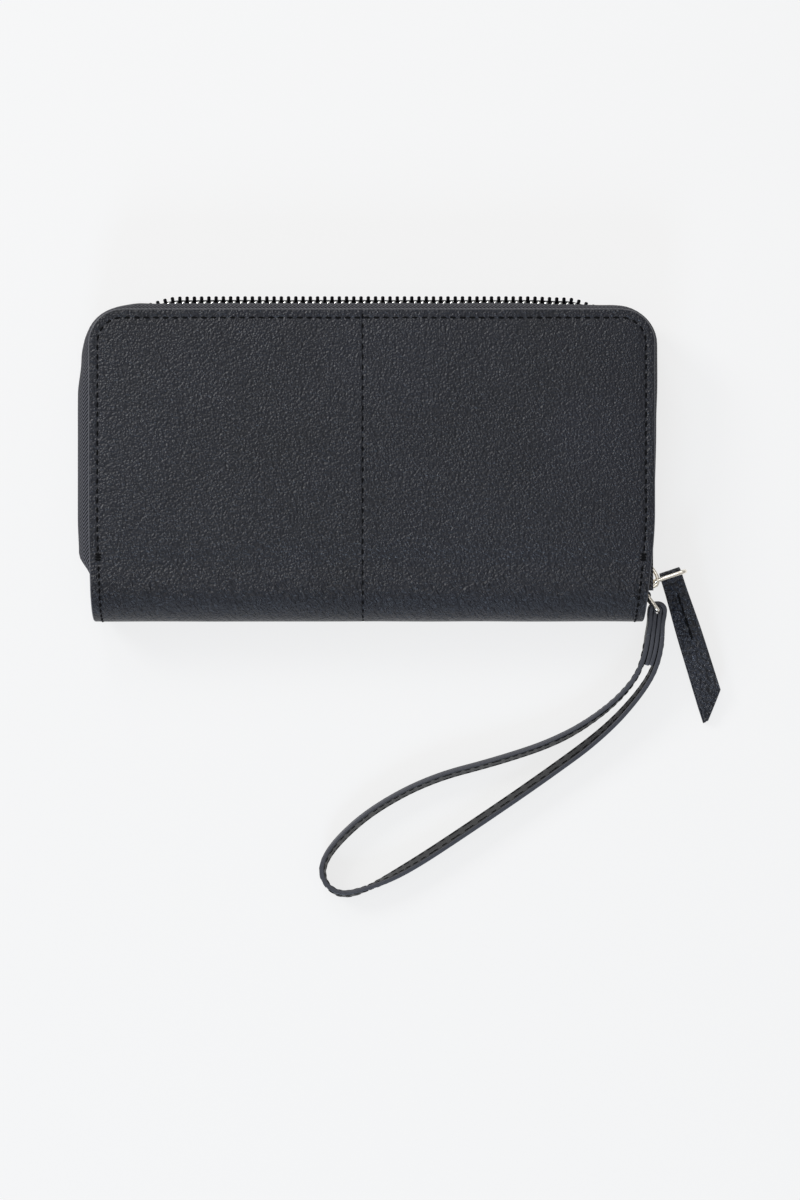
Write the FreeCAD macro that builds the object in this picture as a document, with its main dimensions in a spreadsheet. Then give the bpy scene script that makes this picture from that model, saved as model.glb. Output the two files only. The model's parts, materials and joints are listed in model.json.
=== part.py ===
"""Zip-around wristlet wallet in black leather, as a parametric FreeCAD document.

Frame: the closed wallet lies on its back cover. +X runs along the spine, +Y from the spine to the
zipped edge opposite it, +Z from the back cover to the front cover. The origin is the middle of the
cover's outline, on the outer face of the back leather. Lengths are millimetres, angles are degrees.
"""
import FreeCAD, Part
import math
import os
import re
import Sketcher
from FreeCAD import Placement, Rotation, Vector

SIZES = {
    # covers
    "cover_width": 190.0,
    "cover_height": 105.0,
    "wallet_thick": 22.0,
    "corner_radius": 11.5,
    "leather_thick": 1.1,
    "board_thick": 0.8,
    "lining_thick": 0.6,
    "board_inset": 1.5,
    "lining_inset": 5.0,
    "seam_offset": -3.0,
    "spine_taper": 3.2,
    "fold_arc": 30.0,
    # zip round three sides
    "tape_thick": 0.6,
    "tape_grip": 4.8,
    "bulge_left": 4.2,
    "bulge_top": 3.4,
    "bulge_right": 1.4,
    "tuck_right": 2.1,
    "tape_end": 0.5,
    "tooth_margin": 3.0,
    "tape_gap": 3.2,
    "tooth_pitch": 2.45,
    "tooth_width": 0.95,
    "tooth_depth": 2.0,
    "tooth_height": 3.1,
    "slider_margin": 2.5,
    "stop_width": 1.4,
    "stop_margin": 0.9,
    # inside
    "panel_thick": 0.6,
    "slot_thick": 0.4,
    "slot_step": 9.0,
    "slot_gap": 2.0,
    "panel_inset": 9.0,
    "panel_foot": 6.0,
    "panel_head": 8.5,
    "card_corner": 3.0,
    "column_gap": 1.0,
    "column_notch": 3.0,
    "pocket_thick": 4.6,
    "pocket_wall": 0.8,
    "pocket_foot": 3.5,
    "pocket_head": 8.5,
    "binding_width": 1.5,
    "binding_stop": 4.0,
    "web_thick": 0.5,
    "fit_gap": 0.05,
    "gusset_thick": 0.4,
    "gusset_inset": 6.6,
    "gusset_wide_depth": 26.0,
    "gusset_slim_depth": 8.0,
    "gusset_fold_drop": 2.3,
    "gusset_fold_wall": 3.0,
    # sliders
    "slider_length": 9.0,
    "slider_plate": 0.8,
    "slider_reach": 4.4,
    "slot_play": 0.2,
    "crown_bar": 1.3,
    "crown_post": 0.8,
    "crown_half_height": 0.85,
    "crown_drop": 1.9,
    "nose_wall": 1.6,
    "ring_wire": 1.4,
    "ring_gauge": 3.6,
    "ring_corner": 1.0,
    "ring_play": 0.1,
    "ring_turn": 18.5,
    # leather puller
    "puller_length": 51.0,
    "puller_width": 7.2,
    "puller_leaf": 1.2,
    "puller_merge": 5.0,
    "puller_slant": 9.0,
    "puller_slope": 8.5,
    "puller_tip": 0.8,
    # wrist strap
    "strap_width": 7.0,
    "strap_thick": 1.6,
    "strap_fold_length": 8.6,
    "strap_fold_turn": 6.0,
    "strap_fold_bend": 2.5,
    "loop_wire": 1.4,
    "loop_corner": 1.2,
    "loop_reach": 6.4,
    "loop_height": 9.4,
    "loop_turn": -53.13,
    "loop_level": 8.5,
    "loop_pivot_inset": 2.1,
    "loop_pivot_drop": 2.1,
    "tab_wall": 0.8,
    "tab_height": 5.0,
    "tab_foot": 0.6,
    "tab_foot_width": 1.5,
    # coin zip
    "coin_tooth_pitch": 2.0,
    "coin_tape_proud": 2.0,
    "coin_tooth_width": 0.9,
    "coin_tooth_depth": 0.8,
    "coin_tape_margin": 4.0,
    "coin_tape_grip": 3.0,
    "coin_slider_length": 8.0,
    "coin_slider_start": 9.0,
    "coin_pull_length": 13.0,
    "coin_blade_thick": 0.7,
    "ear_inner": 1.0,
    "ear_outer": 1.8,
    "ear_rise": 2.0,
    "pin_rise": 1.1,
    "pin_radius": 0.45,
    "pin_bore_radius": 0.5,
}

doc = FreeCAD.newDocument("wristlet_wallet")
sheet = doc.addObject("Spreadsheet::Sheet", "Sizes")
for row, (alias, amount) in enumerate(SIZES.items(), 1):
    sheet.set(f"A{row}", alias)
    sheet.set(f"B{row}", str(amount))
    sheet.setAlias(f"B{row}", alias)
doc.recompute()

# Places that several pieces share, as formulas of the sheet's cells.
HALF = "(cover_width / 2)"
TOP = "(cover_height / 2)"
ROLL = "(wallet_thick / 2)"
AXIS_Y = "(-cover_height / 2 + wallet_thick / 2)"
SKIN = "leather_thick"
TAPE_LEVEL = "(leather_thick + board_thick)"
INNER = "(leather_thick + board_thick + lining_thick)"
CARD_LEVEL = "(leather_thick + board_thick + lining_thick + panel_thick)"
TAPE_END_Y = f"({AXIS_Y} + tape_end)"
POCKET_LOW = "((wallet_thick - pocket_thick) / 2)"
POCKET_SIDE = f"({HALF} - panel_inset)"

parts = []


def formula(text):
    """Puts the sheet's name before each alias, so that an expression reads the sheet."""
    return re.sub(r"\b([a-z]+(?:_[a-z]+)+)\b", r"Sizes.\1", str(text))


def size(text):
    return float(sheet.evalExpression(formula(text)))


def bind(feature, **settings):
    for name, text in settings.items():
        feature.setExpression(name.replace("__", "."), formula(text))


def new_body(label):
    body = doc.addObject("PartDesign::Body", label)
    parts.append(body)
    return body


def new_sketch(body, name, role, lift="0"):
    """A sketch on one of the body's own origin planes, lifted along that plane's normal."""
    sketch = body.newObject("Sketcher::SketchObject", name)
    plane = [item for item in body.Origin.OriginFeatures if item.Role == role][0]
    sketch.AttachmentSupport = [(plane, "")]
    sketch.MapMode = "FlatFace"
    sketch.setExpression("AttachmentOffset.Base.z", formula(lift))
    return sketch


def outline(sketch, corners, bends=None):
    """Closes an outline through the corners. bends gives a side's radius and centre where it is an arc."""
    bends = bends or {}
    spots = [Vector(size(u), size(v), 0) for u, v in corners]
    first = sketch.GeometryCount
    heads = []
    for index, start in enumerate(spots):
        finish = spots[(index + 1) % len(spots)]
        heads.append(1)
        if index not in bends:
            sketch.addGeometry(Part.LineSegment(start, finish), False)
            continue
        radius, centre = bends[index]
        middle = Vector(size(centre[0]), size(centre[1]), 0)
        circle = Part.Circle(middle, Vector(0, 0, 1), size(radius))
        angles = [math.atan2(spot.y - middle.y, spot.x - middle.x) for spot in (start, finish)]
        if (start - middle).cross(finish - middle).z < 0:
            angles.reverse()
            heads[-1] = 2
        sketch.addGeometry(Part.ArcOfCircle(circle, *angles), False)
    for index, corner in enumerate(corners):
        after = (index + 1) % len(corners)
        tail = 3 - heads[index]
        sketch.addConstraint(
            Sketcher.Constraint("Coincident", first + index, tail, first + after, heads[after]))
        for kind, text in zip(("DistanceX", "DistanceY"), corner):
            number = sketch.addConstraint(
                Sketcher.Constraint(kind, -1, 1, first + index, heads[index], size(text)))
            sketch.setExpression(f"Constraints[{number}]", formula(text))
        if index in bends:
            number = sketch.addConstraint(
                Sketcher.Constraint("Radius", first + index, size(bends[index][0])))
            sketch.setExpression(f"Constraints[{number}]", formula(bends[index][0]))
    return sketch


def circle_at(sketch, u, v, radius):
    number = sketch.addGeometry(
        Part.Circle(Vector(size(u), size(v), 0), Vector(0, 0, 1), size(radius)), False)
    for kind, text in (("DistanceX", u), ("DistanceY", v)):
        rule = sketch.addConstraint(Sketcher.Constraint(kind, -1, 1, number, 3, size(text)))
        sketch.setExpression(f"Constraints[{rule}]", formula(text))
    rule = sketch.addConstraint(Sketcher.Constraint("Radius", number, size(radius)))
    sketch.setExpression(f"Constraints[{rule}]", formula(radius))
    return sketch


def box_corners(low_u, high_u, low_v, high_v):
    return [(low_u, low_v), (high_u, low_v), (high_u, high_v), (low_u, high_v)]


def pad(body, sketch, length):
    feature = body.newObject("PartDesign::Pad", "pad")
    feature.Profile = sketch
    bind(feature, Length=length)
    doc.recompute()
    return feature


def pocket(body, sketch, length, reverse=False):
    """Cuts the sketch into the body and makes sure that something was cut."""
    before = body.Shape.Volume
    feature = body.newObject("PartDesign::Pocket", "pocket")
    feature.Profile = sketch
    feature.Reversed = reverse
    bind(feature, Length=length)
    doc.recompute()
    if body.Shape.Volume > before - 1e-6:
        raise RuntimeError(f"a pocket of {body.Label} cuts nothing")
    return feature


def fillet(body, feature, radius, chosen):
    """Rounds the straight edges that the test chosen(middle, direction) picks."""
    names = []
    for number, edge in enumerate(feature.Shape.Edges, 1):
        direction = edge.tangentAt(edge.FirstParameter)
        if chosen(edge.CenterOfMass, direction):
            names.append(f"Edge{number}")
    if not names:
        raise RuntimeError(f"no edge of {body.Label} to round")
    rounded = body.newObject("PartDesign::Fillet", "fillet")
    rounded.Base = (feature, names)
    bind(rounded, Radius=radius)
    body.Tip = rounded
    doc.recompute()
    return rounded


def upright(direction):
    return abs(direction.z) > 0.99


def slab(label, low_x, high_x, low_y, high_y, low_z, thick, rounding=None):
    """A flat plate, with its corners on the zipped side rounded where rounding is given."""
    body = new_body(label)
    sketch = new_sketch(body, "plan", "XY_Plane", low_z)
    outline(sketch, box_corners(low_x, high_x, low_y, high_y))
    plate = pad(body, sketch, thick)
    if rounding:
        middle_y = (size(low_y) + size(high_y)) / 2
        fillet(body, plate, rounding, lambda spot, way: upright(way) and spot.y > middle_y)
    return body


def mirrored(source, label, base="wallet_thick / 2", across="z"):
    """The same piece on the other cover, or at the other end."""
    twin = doc.addObject("Part::Mirroring", label)
    twin.Source = source
    twin.Normal = Vector(0, 0, 1) if across == "z" else Vector(1, 0, 0)
    bind(twin, **{f"Base__{across}": base})
    parts.append(twin)
    doc.recompute()
    return twin


def rounded_path(points, radii):
    """Straight runs through the points, with a tangent arc of the given radius at each inner point."""
    edges = []
    start = points[0]
    for before, corner, after, radius in zip(points, points[1:], points[2:], radii):
        into = (corner - before).normalize()
        out = (after - corner).normalize()
        half_turn = into.getAngle(out) / 2
        reach = radius * math.tan(half_turn)
        first = corner - into * reach
        last = corner + out * reach
        inward = (out - into).normalize()
        middle = corner + inward * (radius / math.cos(half_turn) - radius)
        edges.append(Part.LineSegment(start, first).toShape())
        edges.append(Part.Arc(first, middle, last).toShape())
        start = last
    edges.append(Part.LineSegment(start, points[-1]).toShape())
    return edges


def free_shape(label, shape, place=None):
    """A piece that no feature fits: its shape is set from the sheet's values, then its place."""
    piece = doc.addObject("Part::Feature", label)
    piece.Shape = shape
    piece.Placement = place or Placement()
    parts.append(piece)
    return piece


# ---- covers: leather, board and lining, wrapped round the spine as far as the fold line ----

def cover_layer(label, low_x, high_x, level, thick, inset, wraps, corners):
    """One layer of the back cover. corners says which ends are rounded at the zipped edge."""
    body = new_body(label)
    sketch = new_sketch(body, "section", "YZ_Plane", low_x)
    top = f"({TOP} - {inset})"
    far = f"({ROLL} - {level})"
    near = f"({ROLL} - {level} - {thick})"
    if wraps:
        points = [
            (top, level),
            (AXIS_Y, level),
            (f"({AXIS_Y} - {far} * sin(fold_arc))", f"({ROLL} - {far} * cos(fold_arc))"),
            (f"({AXIS_Y} - {near} * sin(fold_arc))", f"({ROLL} - {near} * cos(fold_arc))"),
            (AXIS_Y, f"({level} + {thick})"),
            (top, f"({level} + {thick})"),
        ]
        centre = (AXIS_Y, ROLL)
        outline(sketch, points, {1: (far, centre), 3: (near, centre)})
    else:
        outline(sketch, box_corners(AXIS_Y, top, level, f"({level} + {thick})"))
    plate = pad(body, sketch, f"{high_x} - {low_x}")
    middle_x = (size(low_x) + size(high_x)) / 2
    for side in corners:
        plate = fillet(
            body, plate, f"corner_radius - {inset}",
            lambda spot, way, side=side: upright(way) and spot.y > 0 and (spot.x - middle_x) * side > 0)
    return body


def taper_end(body, side):
    """Cuts the end of a layer back where the spine narrows."""
    sketch = new_sketch(body, "taper", "XY_Plane", "-1")
    edge = f"({side} * {HALF})"
    low = f"({AXIS_Y} - {ROLL})"
    outline(sketch, [
        (edge, AXIS_Y),
        (f"({edge} - {side} * spine_taper)", low),
        (f"({edge} + {side} * 2)", low),
        (f"({edge} + {side} * 2)", AXIS_Y),
    ])
    pocket(body, sketch, "wallet_thick + 2", reverse=True)


def spine_layer(label, low_x, high_x, level, thick, margin):
    """One layer of the rolled spine between the two fold lines."""
    body = new_body(label)
    sketch = new_sketch(body, "section", "YZ_Plane", low_x)
    far = f"({ROLL} - {level})"
    near = f"({ROLL} - {level} - {thick})"
    low = f"(fold_arc + {margin})"
    high = f"(180 - fold_arc - {margin})"
    points = [
        (f"({AXIS_Y} - {radius} * sin{angle})", f"({ROLL} - {radius} * cos{angle})")
        for radius, angle in ((far, low), (far, high), (near, high), (near, low))
    ]
    centre = (AXIS_Y, ROLL)
    outline(sketch, points, {0: (far, centre), 2: (near, centre)})
    pad(body, sketch, f"{high_x} - {low_x}")
    return body


SEAM = "seam_offset"
back_leather_left = cover_layer("back_leather_left", f"-{HALF}", SEAM, "0", SKIN, "0", True, (-1,))
taper_end(back_leather_left, -1)
back_leather_right = cover_layer("back_leather_right", SEAM, HALF, "0", SKIN, "0", True, (1,))
taper_end(back_leather_right, 1)
back_board = cover_layer(
    "back_board", f"(-{HALF} + board_inset)", f"({HALF} - board_inset)",
    SKIN, "board_thick", "board_inset", False, (-1, 1))
back_lining = cover_layer(
    "back_lining", f"(-{HALF} + lining_inset)", f"({HALF} - lining_inset)",
    TAPE_LEVEL, "lining_thick", "lining_inset", True, (-1, 1))
for source in (back_leather_left, back_leather_right, back_board, back_lining):
    mirrored(source, source.Label.replace("back_", "front_"))

spine_leather_left = spine_layer("spine_leather_left", f"-{HALF}", SEAM, "0", SKIN, "0")
taper_end(spine_leather_left, -1)
spine_leather_right = spine_layer("spine_leather_right", SEAM, HALF, "0", SKIN, "0")
taper_end(spine_leather_right, 1)
spine_lining = spine_layer(
    "spine_lining", f"(-{HALF} + lining_inset + 1)", f"({HALF} - lining_inset - 1)",
    TAPE_LEVEL, "lining_thick", "1.5")

# ---- zip round the three open sides: a woven tape on each cover, with a row of metal teeth ----

LEFT_WALL = f"(-{HALF} - bulge_left)"
TOP_WALL = f"({TOP} + bulge_top)"
RIGHT_WALL_TOP = f"({HALF} + bulge_right)"
RIGHT_WALL_END = f"({HALF} - tuck_right)"
WALL_RADIUS = "(corner_radius + bulge_top)"


def tape_strip(body, name, level, end_y, width):
    """The plan of a strip that follows the zip and lies inside its outer wall."""
    sketch = new_sketch(body, name, "XY_Plane", level)
    outer = [
        (LEFT_WALL, end_y), (LEFT_WALL, TOP_WALL), (RIGHT_WALL_TOP, TOP_WALL), (RIGHT_WALL_END, end_y)]
    left, top, right_top, right_end = width
    inner = [(right_end, end_y), (right_top, top), (left, top), (left, end_y)]
    return outline(sketch, outer + inner)


back_zip_tape = new_body("back_zip_tape")
pad(
    back_zip_tape,
    tape_strip(back_zip_tape, "flange", TAPE_LEVEL, TAPE_END_Y, (
        f"(-{HALF} + tape_grip)", f"({TOP} - tape_grip)",
        f"({HALF} - tape_grip)", f"({HALF} - tape_grip)")),
    "tape_thick")
wall = pad(
    back_zip_tape,
    tape_strip(back_zip_tape, "wall", TAPE_LEVEL, TAPE_END_Y, (
        f"({LEFT_WALL} + tape_thick)", f"({TOP_WALL} - tape_thick)",
        f"({RIGHT_WALL_TOP} - tape_thick)", f"({RIGHT_WALL_END} - tape_thick)")),
    f"{ROLL} - tape_gap / 2 - {TAPE_LEVEL}")
wall = fillet(
    back_zip_tape, wall, WALL_RADIUS,
    lambda spot, way: upright(way) and spot.y > size(TOP_WALL) - 0.1)
wall = fillet(
    back_zip_tape, wall, f"{WALL_RADIUS} - tape_thick",
    lambda spot, way: upright(way) and abs(spot.y - size(TOP_WALL) + size("tape_thick")) < 0.1)
wall = fillet(
    back_zip_tape, wall, "corner_radius - tape_grip",
    lambda spot, way: upright(way) and abs(spot.y - size(TOP) + size("tape_grip")) < 0.1)
mirrored(back_zip_tape, "front_zip_tape")


def chain_line():
    """The middle of the tape's wall, from the left end round to the slider, as edges in plan."""
    half_thick = size("tape_thick") / 2
    level = size(ROLL)
    left = size(LEFT_WALL) + half_thick
    top = size(TOP_WALL) - half_thick
    right_top = size(RIGHT_WALL_TOP) - half_thick
    right_end = size(RIGHT_WALL_END) - half_thick
    end = size(TAPE_END_Y)
    corners = [
        Vector(left, end, level), Vector(left, top, level),
        Vector(right_top, top, level), Vector(right_end, end, level)]
    radius = size(WALL_RADIUS) - half_thick
    return rounded_path(corners, [radius, radius])


def stations(edges, first, last_margin, pitch):
    """Places and directions every pitch along the edges."""
    total = sum(edge.Length for edge in edges)
    found = []
    along = first
    while along <= total - last_margin:
        rest = along
        for edge in edges:
            if rest <= edge.Length:
                parameter = edge.getParameterByLength(rest)
                found.append((edge.valueAt(parameter), edge.tangentAt(parameter)))
                break
            rest -= edge.Length
        along += pitch
    return found


def tooth_row(places, width, depth, low, high):
    """Separate teeth: each is a block across the tape, from the level low to the level high."""
    teeth = []
    for spot, way in places:
        block = Part.makeBox(width, depth, high - low, Vector(-width / 2, -depth / 2, 0))
        turn = Rotation(Vector(1, 0, 0), Vector(way.x, way.y, 0))
        block.Placement = Placement(Vector(spot.x, spot.y, low), turn)
        teeth.append(block)
    return teeth


chain = chain_line()
pitch = size("tooth_pitch")
past_slider = size("slider_length + slider_margin")
middle = size(ROLL)
gap_edge = size("tape_gap") / 2
first_tooth = size("tooth_margin")
back_row = stations(chain, first_tooth, past_slider, pitch)
front_row = stations(chain, first_tooth + pitch / 2, past_slider, pitch)
tooth_sizes = (size("tooth_width"), size("tooth_depth"))
free_shape("back_zip_teeth", Part.Compound(
    tooth_row(back_row, *tooth_sizes, middle - gap_edge, middle - gap_edge + size("tooth_height"))))
free_shape("front_zip_teeth", Part.Compound(
    tooth_row(front_row, *tooth_sizes, middle + gap_edge - size("tooth_height"), middle + gap_edge)))
stop_place = stations(chain, size("stop_margin"), 0, pitch)[:1]
free_shape("zip_end_stop", Part.Compound(
    tooth_row(stop_place, size("stop_width"), size("tooth_depth"), middle - gap_edge, middle + gap_edge)))

# ---- card panels with three rows of slots on the inside of each cover ----

PANEL_LOW = f"({AXIS_Y} + panel_foot)"
PANEL_HIGH = f"({TOP} - panel_head)"
back_card_panel = slab(
    "back_card_panel", f"-{POCKET_SIDE}", POCKET_SIDE, PANEL_LOW, PANEL_HIGH, INNER, "panel_thick",
    "card_corner")
mirrored(back_card_panel, "front_card_panel")
for number in (1, 2, 3):
    slot = new_body(f"back_card_slot_{number}")
    level = f"({CARD_LEVEL} + slot_thick * {number - 1})"
    plan = new_sketch(slot, "plan", "XY_Plane", level)
    high = f"({PANEL_HIGH} - slot_step * {number})"
    outline(plan, box_corners(
        f"(-{POCKET_SIDE} + slot_gap)", f"({POCKET_SIDE} - slot_gap)", f"({PANEL_LOW} + slot_gap)", high))
    pad(slot, plan, "slot_thick")
    notch = new_sketch(slot, "column_gap", "XY_Plane", level)
    outline(notch, box_corners(
        "(seam_offset - column_gap / 2)", "(seam_offset + column_gap / 2)",
        f"({high} - column_notch)", f"({high} + 1)"))
    pocket(slot, notch, "slot_thick", reverse=True)
    mirrored(slot, f"front_card_slot_{number}")

# ---- coin pocket in the middle, tied to the spine, with its own zip along its mouth ----

POCKET_FOOT_Y = f"({AXIS_Y} + pocket_foot)"
POCKET_HEAD_Y = f"({TOP} - pocket_head)"
coin_pocket_back = slab(
    "coin_pocket_back_wall", f"-{POCKET_SIDE}", POCKET_SIDE, POCKET_FOOT_Y, POCKET_HEAD_Y,
    POCKET_LOW, "pocket_wall", "card_corner")
mirrored(coin_pocket_back, "coin_pocket_front_wall")

binding = new_body("coin_pocket_binding")
plan = new_sketch(binding, "plan", "XY_Plane", f"{POCKET_LOW} + pocket_wall")
outline(plan, [
    (f"-{POCKET_SIDE}", f"({POCKET_HEAD_Y} - binding_stop)"),
    (f"-{POCKET_SIDE}", POCKET_FOOT_Y),
    (POCKET_SIDE, POCKET_FOOT_Y),
    (POCKET_SIDE, f"({POCKET_HEAD_Y} - binding_stop)"),
    (f"({POCKET_SIDE} - binding_width)", f"({POCKET_HEAD_Y} - binding_stop)"),
    (f"({POCKET_SIDE} - binding_width)", f"({POCKET_FOOT_Y} + binding_width)"),
    (f"(-{POCKET_SIDE} + binding_width)", f"({POCKET_FOOT_Y} + binding_width)"),
    (f"(-{POCKET_SIDE} + binding_width)", f"({POCKET_HEAD_Y} - binding_stop)"),
])
pad(binding, plan, "pocket_thick - 2 * pocket_wall")

web_low = f"({AXIS_Y} - {ROLL} + {INNER} + fit_gap)"
slab("spine_web", f"-{POCKET_SIDE}", POCKET_SIDE, web_low, POCKET_FOOT_Y,
     f"({ROLL} - web_thick / 2)", "web_thick")

COIN_TAPE_LOW = f"({POCKET_HEAD_Y} - coin_tape_grip)"
COIN_TAPE_HIGH = f"({POCKET_HEAD_Y} + coin_tape_proud)"
coin_tape = slab(
    "coin_zip_tape_back", f"(-{POCKET_SIDE} + coin_tape_margin)", f"({POCKET_SIDE} - coin_tape_margin)",
    COIN_TAPE_LOW, COIN_TAPE_HIGH, f"({POCKET_LOW} + pocket_wall)", "tape_thick")
mirrored(coin_tape, "coin_zip_tape_front")
coin_level = size(COIN_TAPE_HIGH)
coin_end = size("coin_tape_margin") + 1
coin_half_gap = size("pocket_thick / 2 - pocket_wall - tape_thick")
coin_line = [Part.LineSegment(
    Vector(-size(POCKET_SIDE) + coin_end, coin_level, middle),
    Vector(size(POCKET_SIDE) - coin_end, coin_level, middle)).toShape()]
coin_pitch = size("coin_tooth_pitch")
free_shape("coin_zip_teeth", Part.Compound(tooth_row(
    stations(coin_line, coin_pitch, coin_pitch / 2, coin_pitch),
    size("coin_tooth_width"), size("coin_tooth_depth"), middle - coin_half_gap, middle + coin_half_gap)))

# ---- gussets: folded end walls between each cover and the coin pocket ----

gusset = new_body("gusset_left_back")
leaf = "gusset_thick"
edge = f"(-{HALF} + gusset_inset)"
sections = []
for name, lift, depth in (
        ("foot", f"-{PANEL_LOW}", "gusset_slim_depth"), ("head", f"-({PANEL_HIGH} - 2)", "gusset_wide_depth")):
    section = new_sketch(gusset, name, "XZ_Plane", lift)
    outline(section, [
        (edge, f"({INNER} + fit_gap)"),
        (f"({edge} + {leaf})", f"({INNER} + fit_gap)"),
        (f"({edge} + {leaf})", f"({POCKET_LOW} / 2 + 0.9)"),
        (f"({edge} + {depth})", f"({POCKET_LOW} - gusset_fold_drop)"),
        (f"({edge} + {leaf})", f"({POCKET_LOW} - 1.1)"),
        (f"({edge} + {leaf})", f"({POCKET_LOW} + pocket_wall)"),
        (edge, f"({POCKET_LOW} + pocket_wall)"),
        (edge, f"({POCKET_LOW} - 1.6)"),
        (f"({edge} + {depth} - gusset_fold_wall)", f"({POCKET_LOW} - gusset_fold_drop)"),
        (edge, f"({POCKET_LOW} / 2 + 1.4)"),
    ])
    sections.append(section)
loft = gusset.newObject("PartDesign::AdditiveLoft", "folded_leaves")
loft.Profile = sections[0]
loft.Sections = [sections[1]]
loft.Ruled = True
doc.recompute()
right = mirrored(gusset, "gusset_right_back", "0", "x")
mirrored(gusset, "gusset_left_front")
mirrored(right, "gusset_right_front")

# ---- zip slider, which runs along the right-hand end of the zip ----

SLANT = f"atan((bulge_right + tuck_right) / ({TOP_WALL} - {TAPE_END_Y}))"
slant = size(SLANT)
slider_up = size("slider_length") / 2 - 0.5
slider_place = Placement(
    Vector(
        size(RIGHT_WALL_END) - size("tape_thick") / 2 + slider_up * math.tan(math.radians(slant)),
        size(TAPE_END_Y) + slider_up,
        middle),
    Rotation(Vector(0, 0, 1), -slant))
CHANNEL = "(tooth_depth / 2 + 0.1)"
SLIDER_FACE = f"({CHANNEL} + slider_plate)"
TOOTH_REACH = "(tooth_height - tape_gap / 2 + 0.25)"
SLOT = "(tape_thick / 2 + slot_play)"
DIAMOND = "(tape_gap / 2 - 0.35)"

slider = new_body("slider_body")
plan = new_sketch(slider, "end_view", "XZ_Plane", "-slider_length / 2")
outline(plan, box_corners(f"-{SLIDER_FACE}", SLIDER_FACE, "-slider_reach", "slider_reach"))
pad(slider, plan, "slider_length")
cut = new_sketch(slider, "channel", "XZ_Plane", "-slider_length / 2 - 1")
outline(cut, [
    (f"-{SLOT}", "-(slider_reach + 1)"), (SLOT, "-(slider_reach + 1)"), (SLOT, f"-{TOOTH_REACH}"),
    (CHANNEL, f"-{TOOTH_REACH}"), (CHANNEL, TOOTH_REACH), (SLOT, TOOTH_REACH),
    (SLOT, "slider_reach + 1"), (f"-{SLOT}", "slider_reach + 1"), (f"-{SLOT}", TOOTH_REACH),
    (f"-{CHANNEL}", TOOTH_REACH), (f"-{CHANNEL}", f"-{TOOTH_REACH}"), (f"-{SLOT}", f"-{TOOTH_REACH}"),
])
pocket(slider, cut, "slider_length + 1 - nose_wall", reverse=True)
for side in (-1, 1):
    mouth = new_sketch(slider, "mouth", "XZ_Plane", "0")
    outline(mouth, box_corners(f"-{SLOT}", SLOT, f"{side} * {DIAMOND}", f"{side} * (slider_reach + 1)"))
    pocket(slider, mouth, "slider_length", reverse=True)
slider.Placement = slider_place

crown = new_body("slider_crown")
hole = "(ring_wire / 2 + ring_play)"
bar_near = f"({SLIDER_FACE} + ring_wire + 2 * ring_play)"
crown_out = f"({bar_near} + crown_bar)"
plan = new_sketch(crown, "plan", "XY_Plane", "-crown_half_height")
outline(plan, [
    (SLIDER_FACE, f"-({hole} + crown_post)"), (crown_out, f"-({hole} + crown_post)"),
    (crown_out, f"{hole} + crown_post"), (SLIDER_FACE, f"{hole} + crown_post"),
    (SLIDER_FACE, hole), (bar_near, hole), (bar_near, f"-{hole}"), (SLIDER_FACE, f"-{hole}"),
])
pad(crown, plan, "2 * crown_half_height")
crown_place = slider_place.multiply(Placement(Vector(0, -size("crown_drop"), 0), Rotation()))
crown.Placement = crown_place

# ---- oblong wire ring in the crown, and the folded leather puller on it ----


def wire_ring(label, long_side, short_side, corner, wire):
    """A rounded rectangle of round wire in its own XZ plane, centred on its origin."""
    body = new_body(label)
    path = new_sketch(body, "path", "XZ_Plane")
    half_long = f"({long_side} / 2)"
    half_short = f"({short_side} / 2)"
    points = []
    bends = {}
    for across, up in ((1, 1), (1, -1), (-1, -1), (-1, 1)):
        level_first = (f"{across} * ({half_long} - {corner})", f"{up} * {half_short}")
        side_first = (f"{across} * {half_long}", f"{up} * ({half_short} - {corner})")
        bends[len(points)] = (
            corner, (f"{across} * ({half_long} - {corner})", f"{up} * ({half_short} - {corner})"))
        points += [level_first, side_first] if across == up else [side_first, level_first]
    outline(path, points, bends)
    section = circle_at(new_sketch(body, "section", "YZ_Plane"), "0", half_short, f"{wire} / 2")
    pipe = body.newObject("PartDesign::AdditivePipe", "bent_wire")
    pipe.Profile = section
    pipe.Spine = (path, [])
    doc.recompute()
    return body


RING_HALF = "(ring_wire / 2)"
crown_corner = math.hypot(
    size(crown_out) - size(SLIDER_FACE) - size(hole), size(hole) + size("crown_post"))
TAB_START = f"({crown_corner:.3f} + ring_play)"
RING_LONG = f"({TAB_START} + puller_width + ring_play + ring_corner)"
ring_pivot = crown_place.multVec(Vector(size(SLIDER_FACE) + size(hole), 0, 0))
ring_turn = Rotation(Vector(0, 0, 1), size("ring_turn"))
along_ring = ring_turn.multVec(Vector(1, 0, 0))
pull_ring = wire_ring("pull_ring", RING_LONG, "ring_gauge", "ring_corner", "ring_wire")
pull_ring.Placement = Placement(ring_pivot + along_ring * (size(RING_LONG) / 2), ring_turn)

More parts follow.
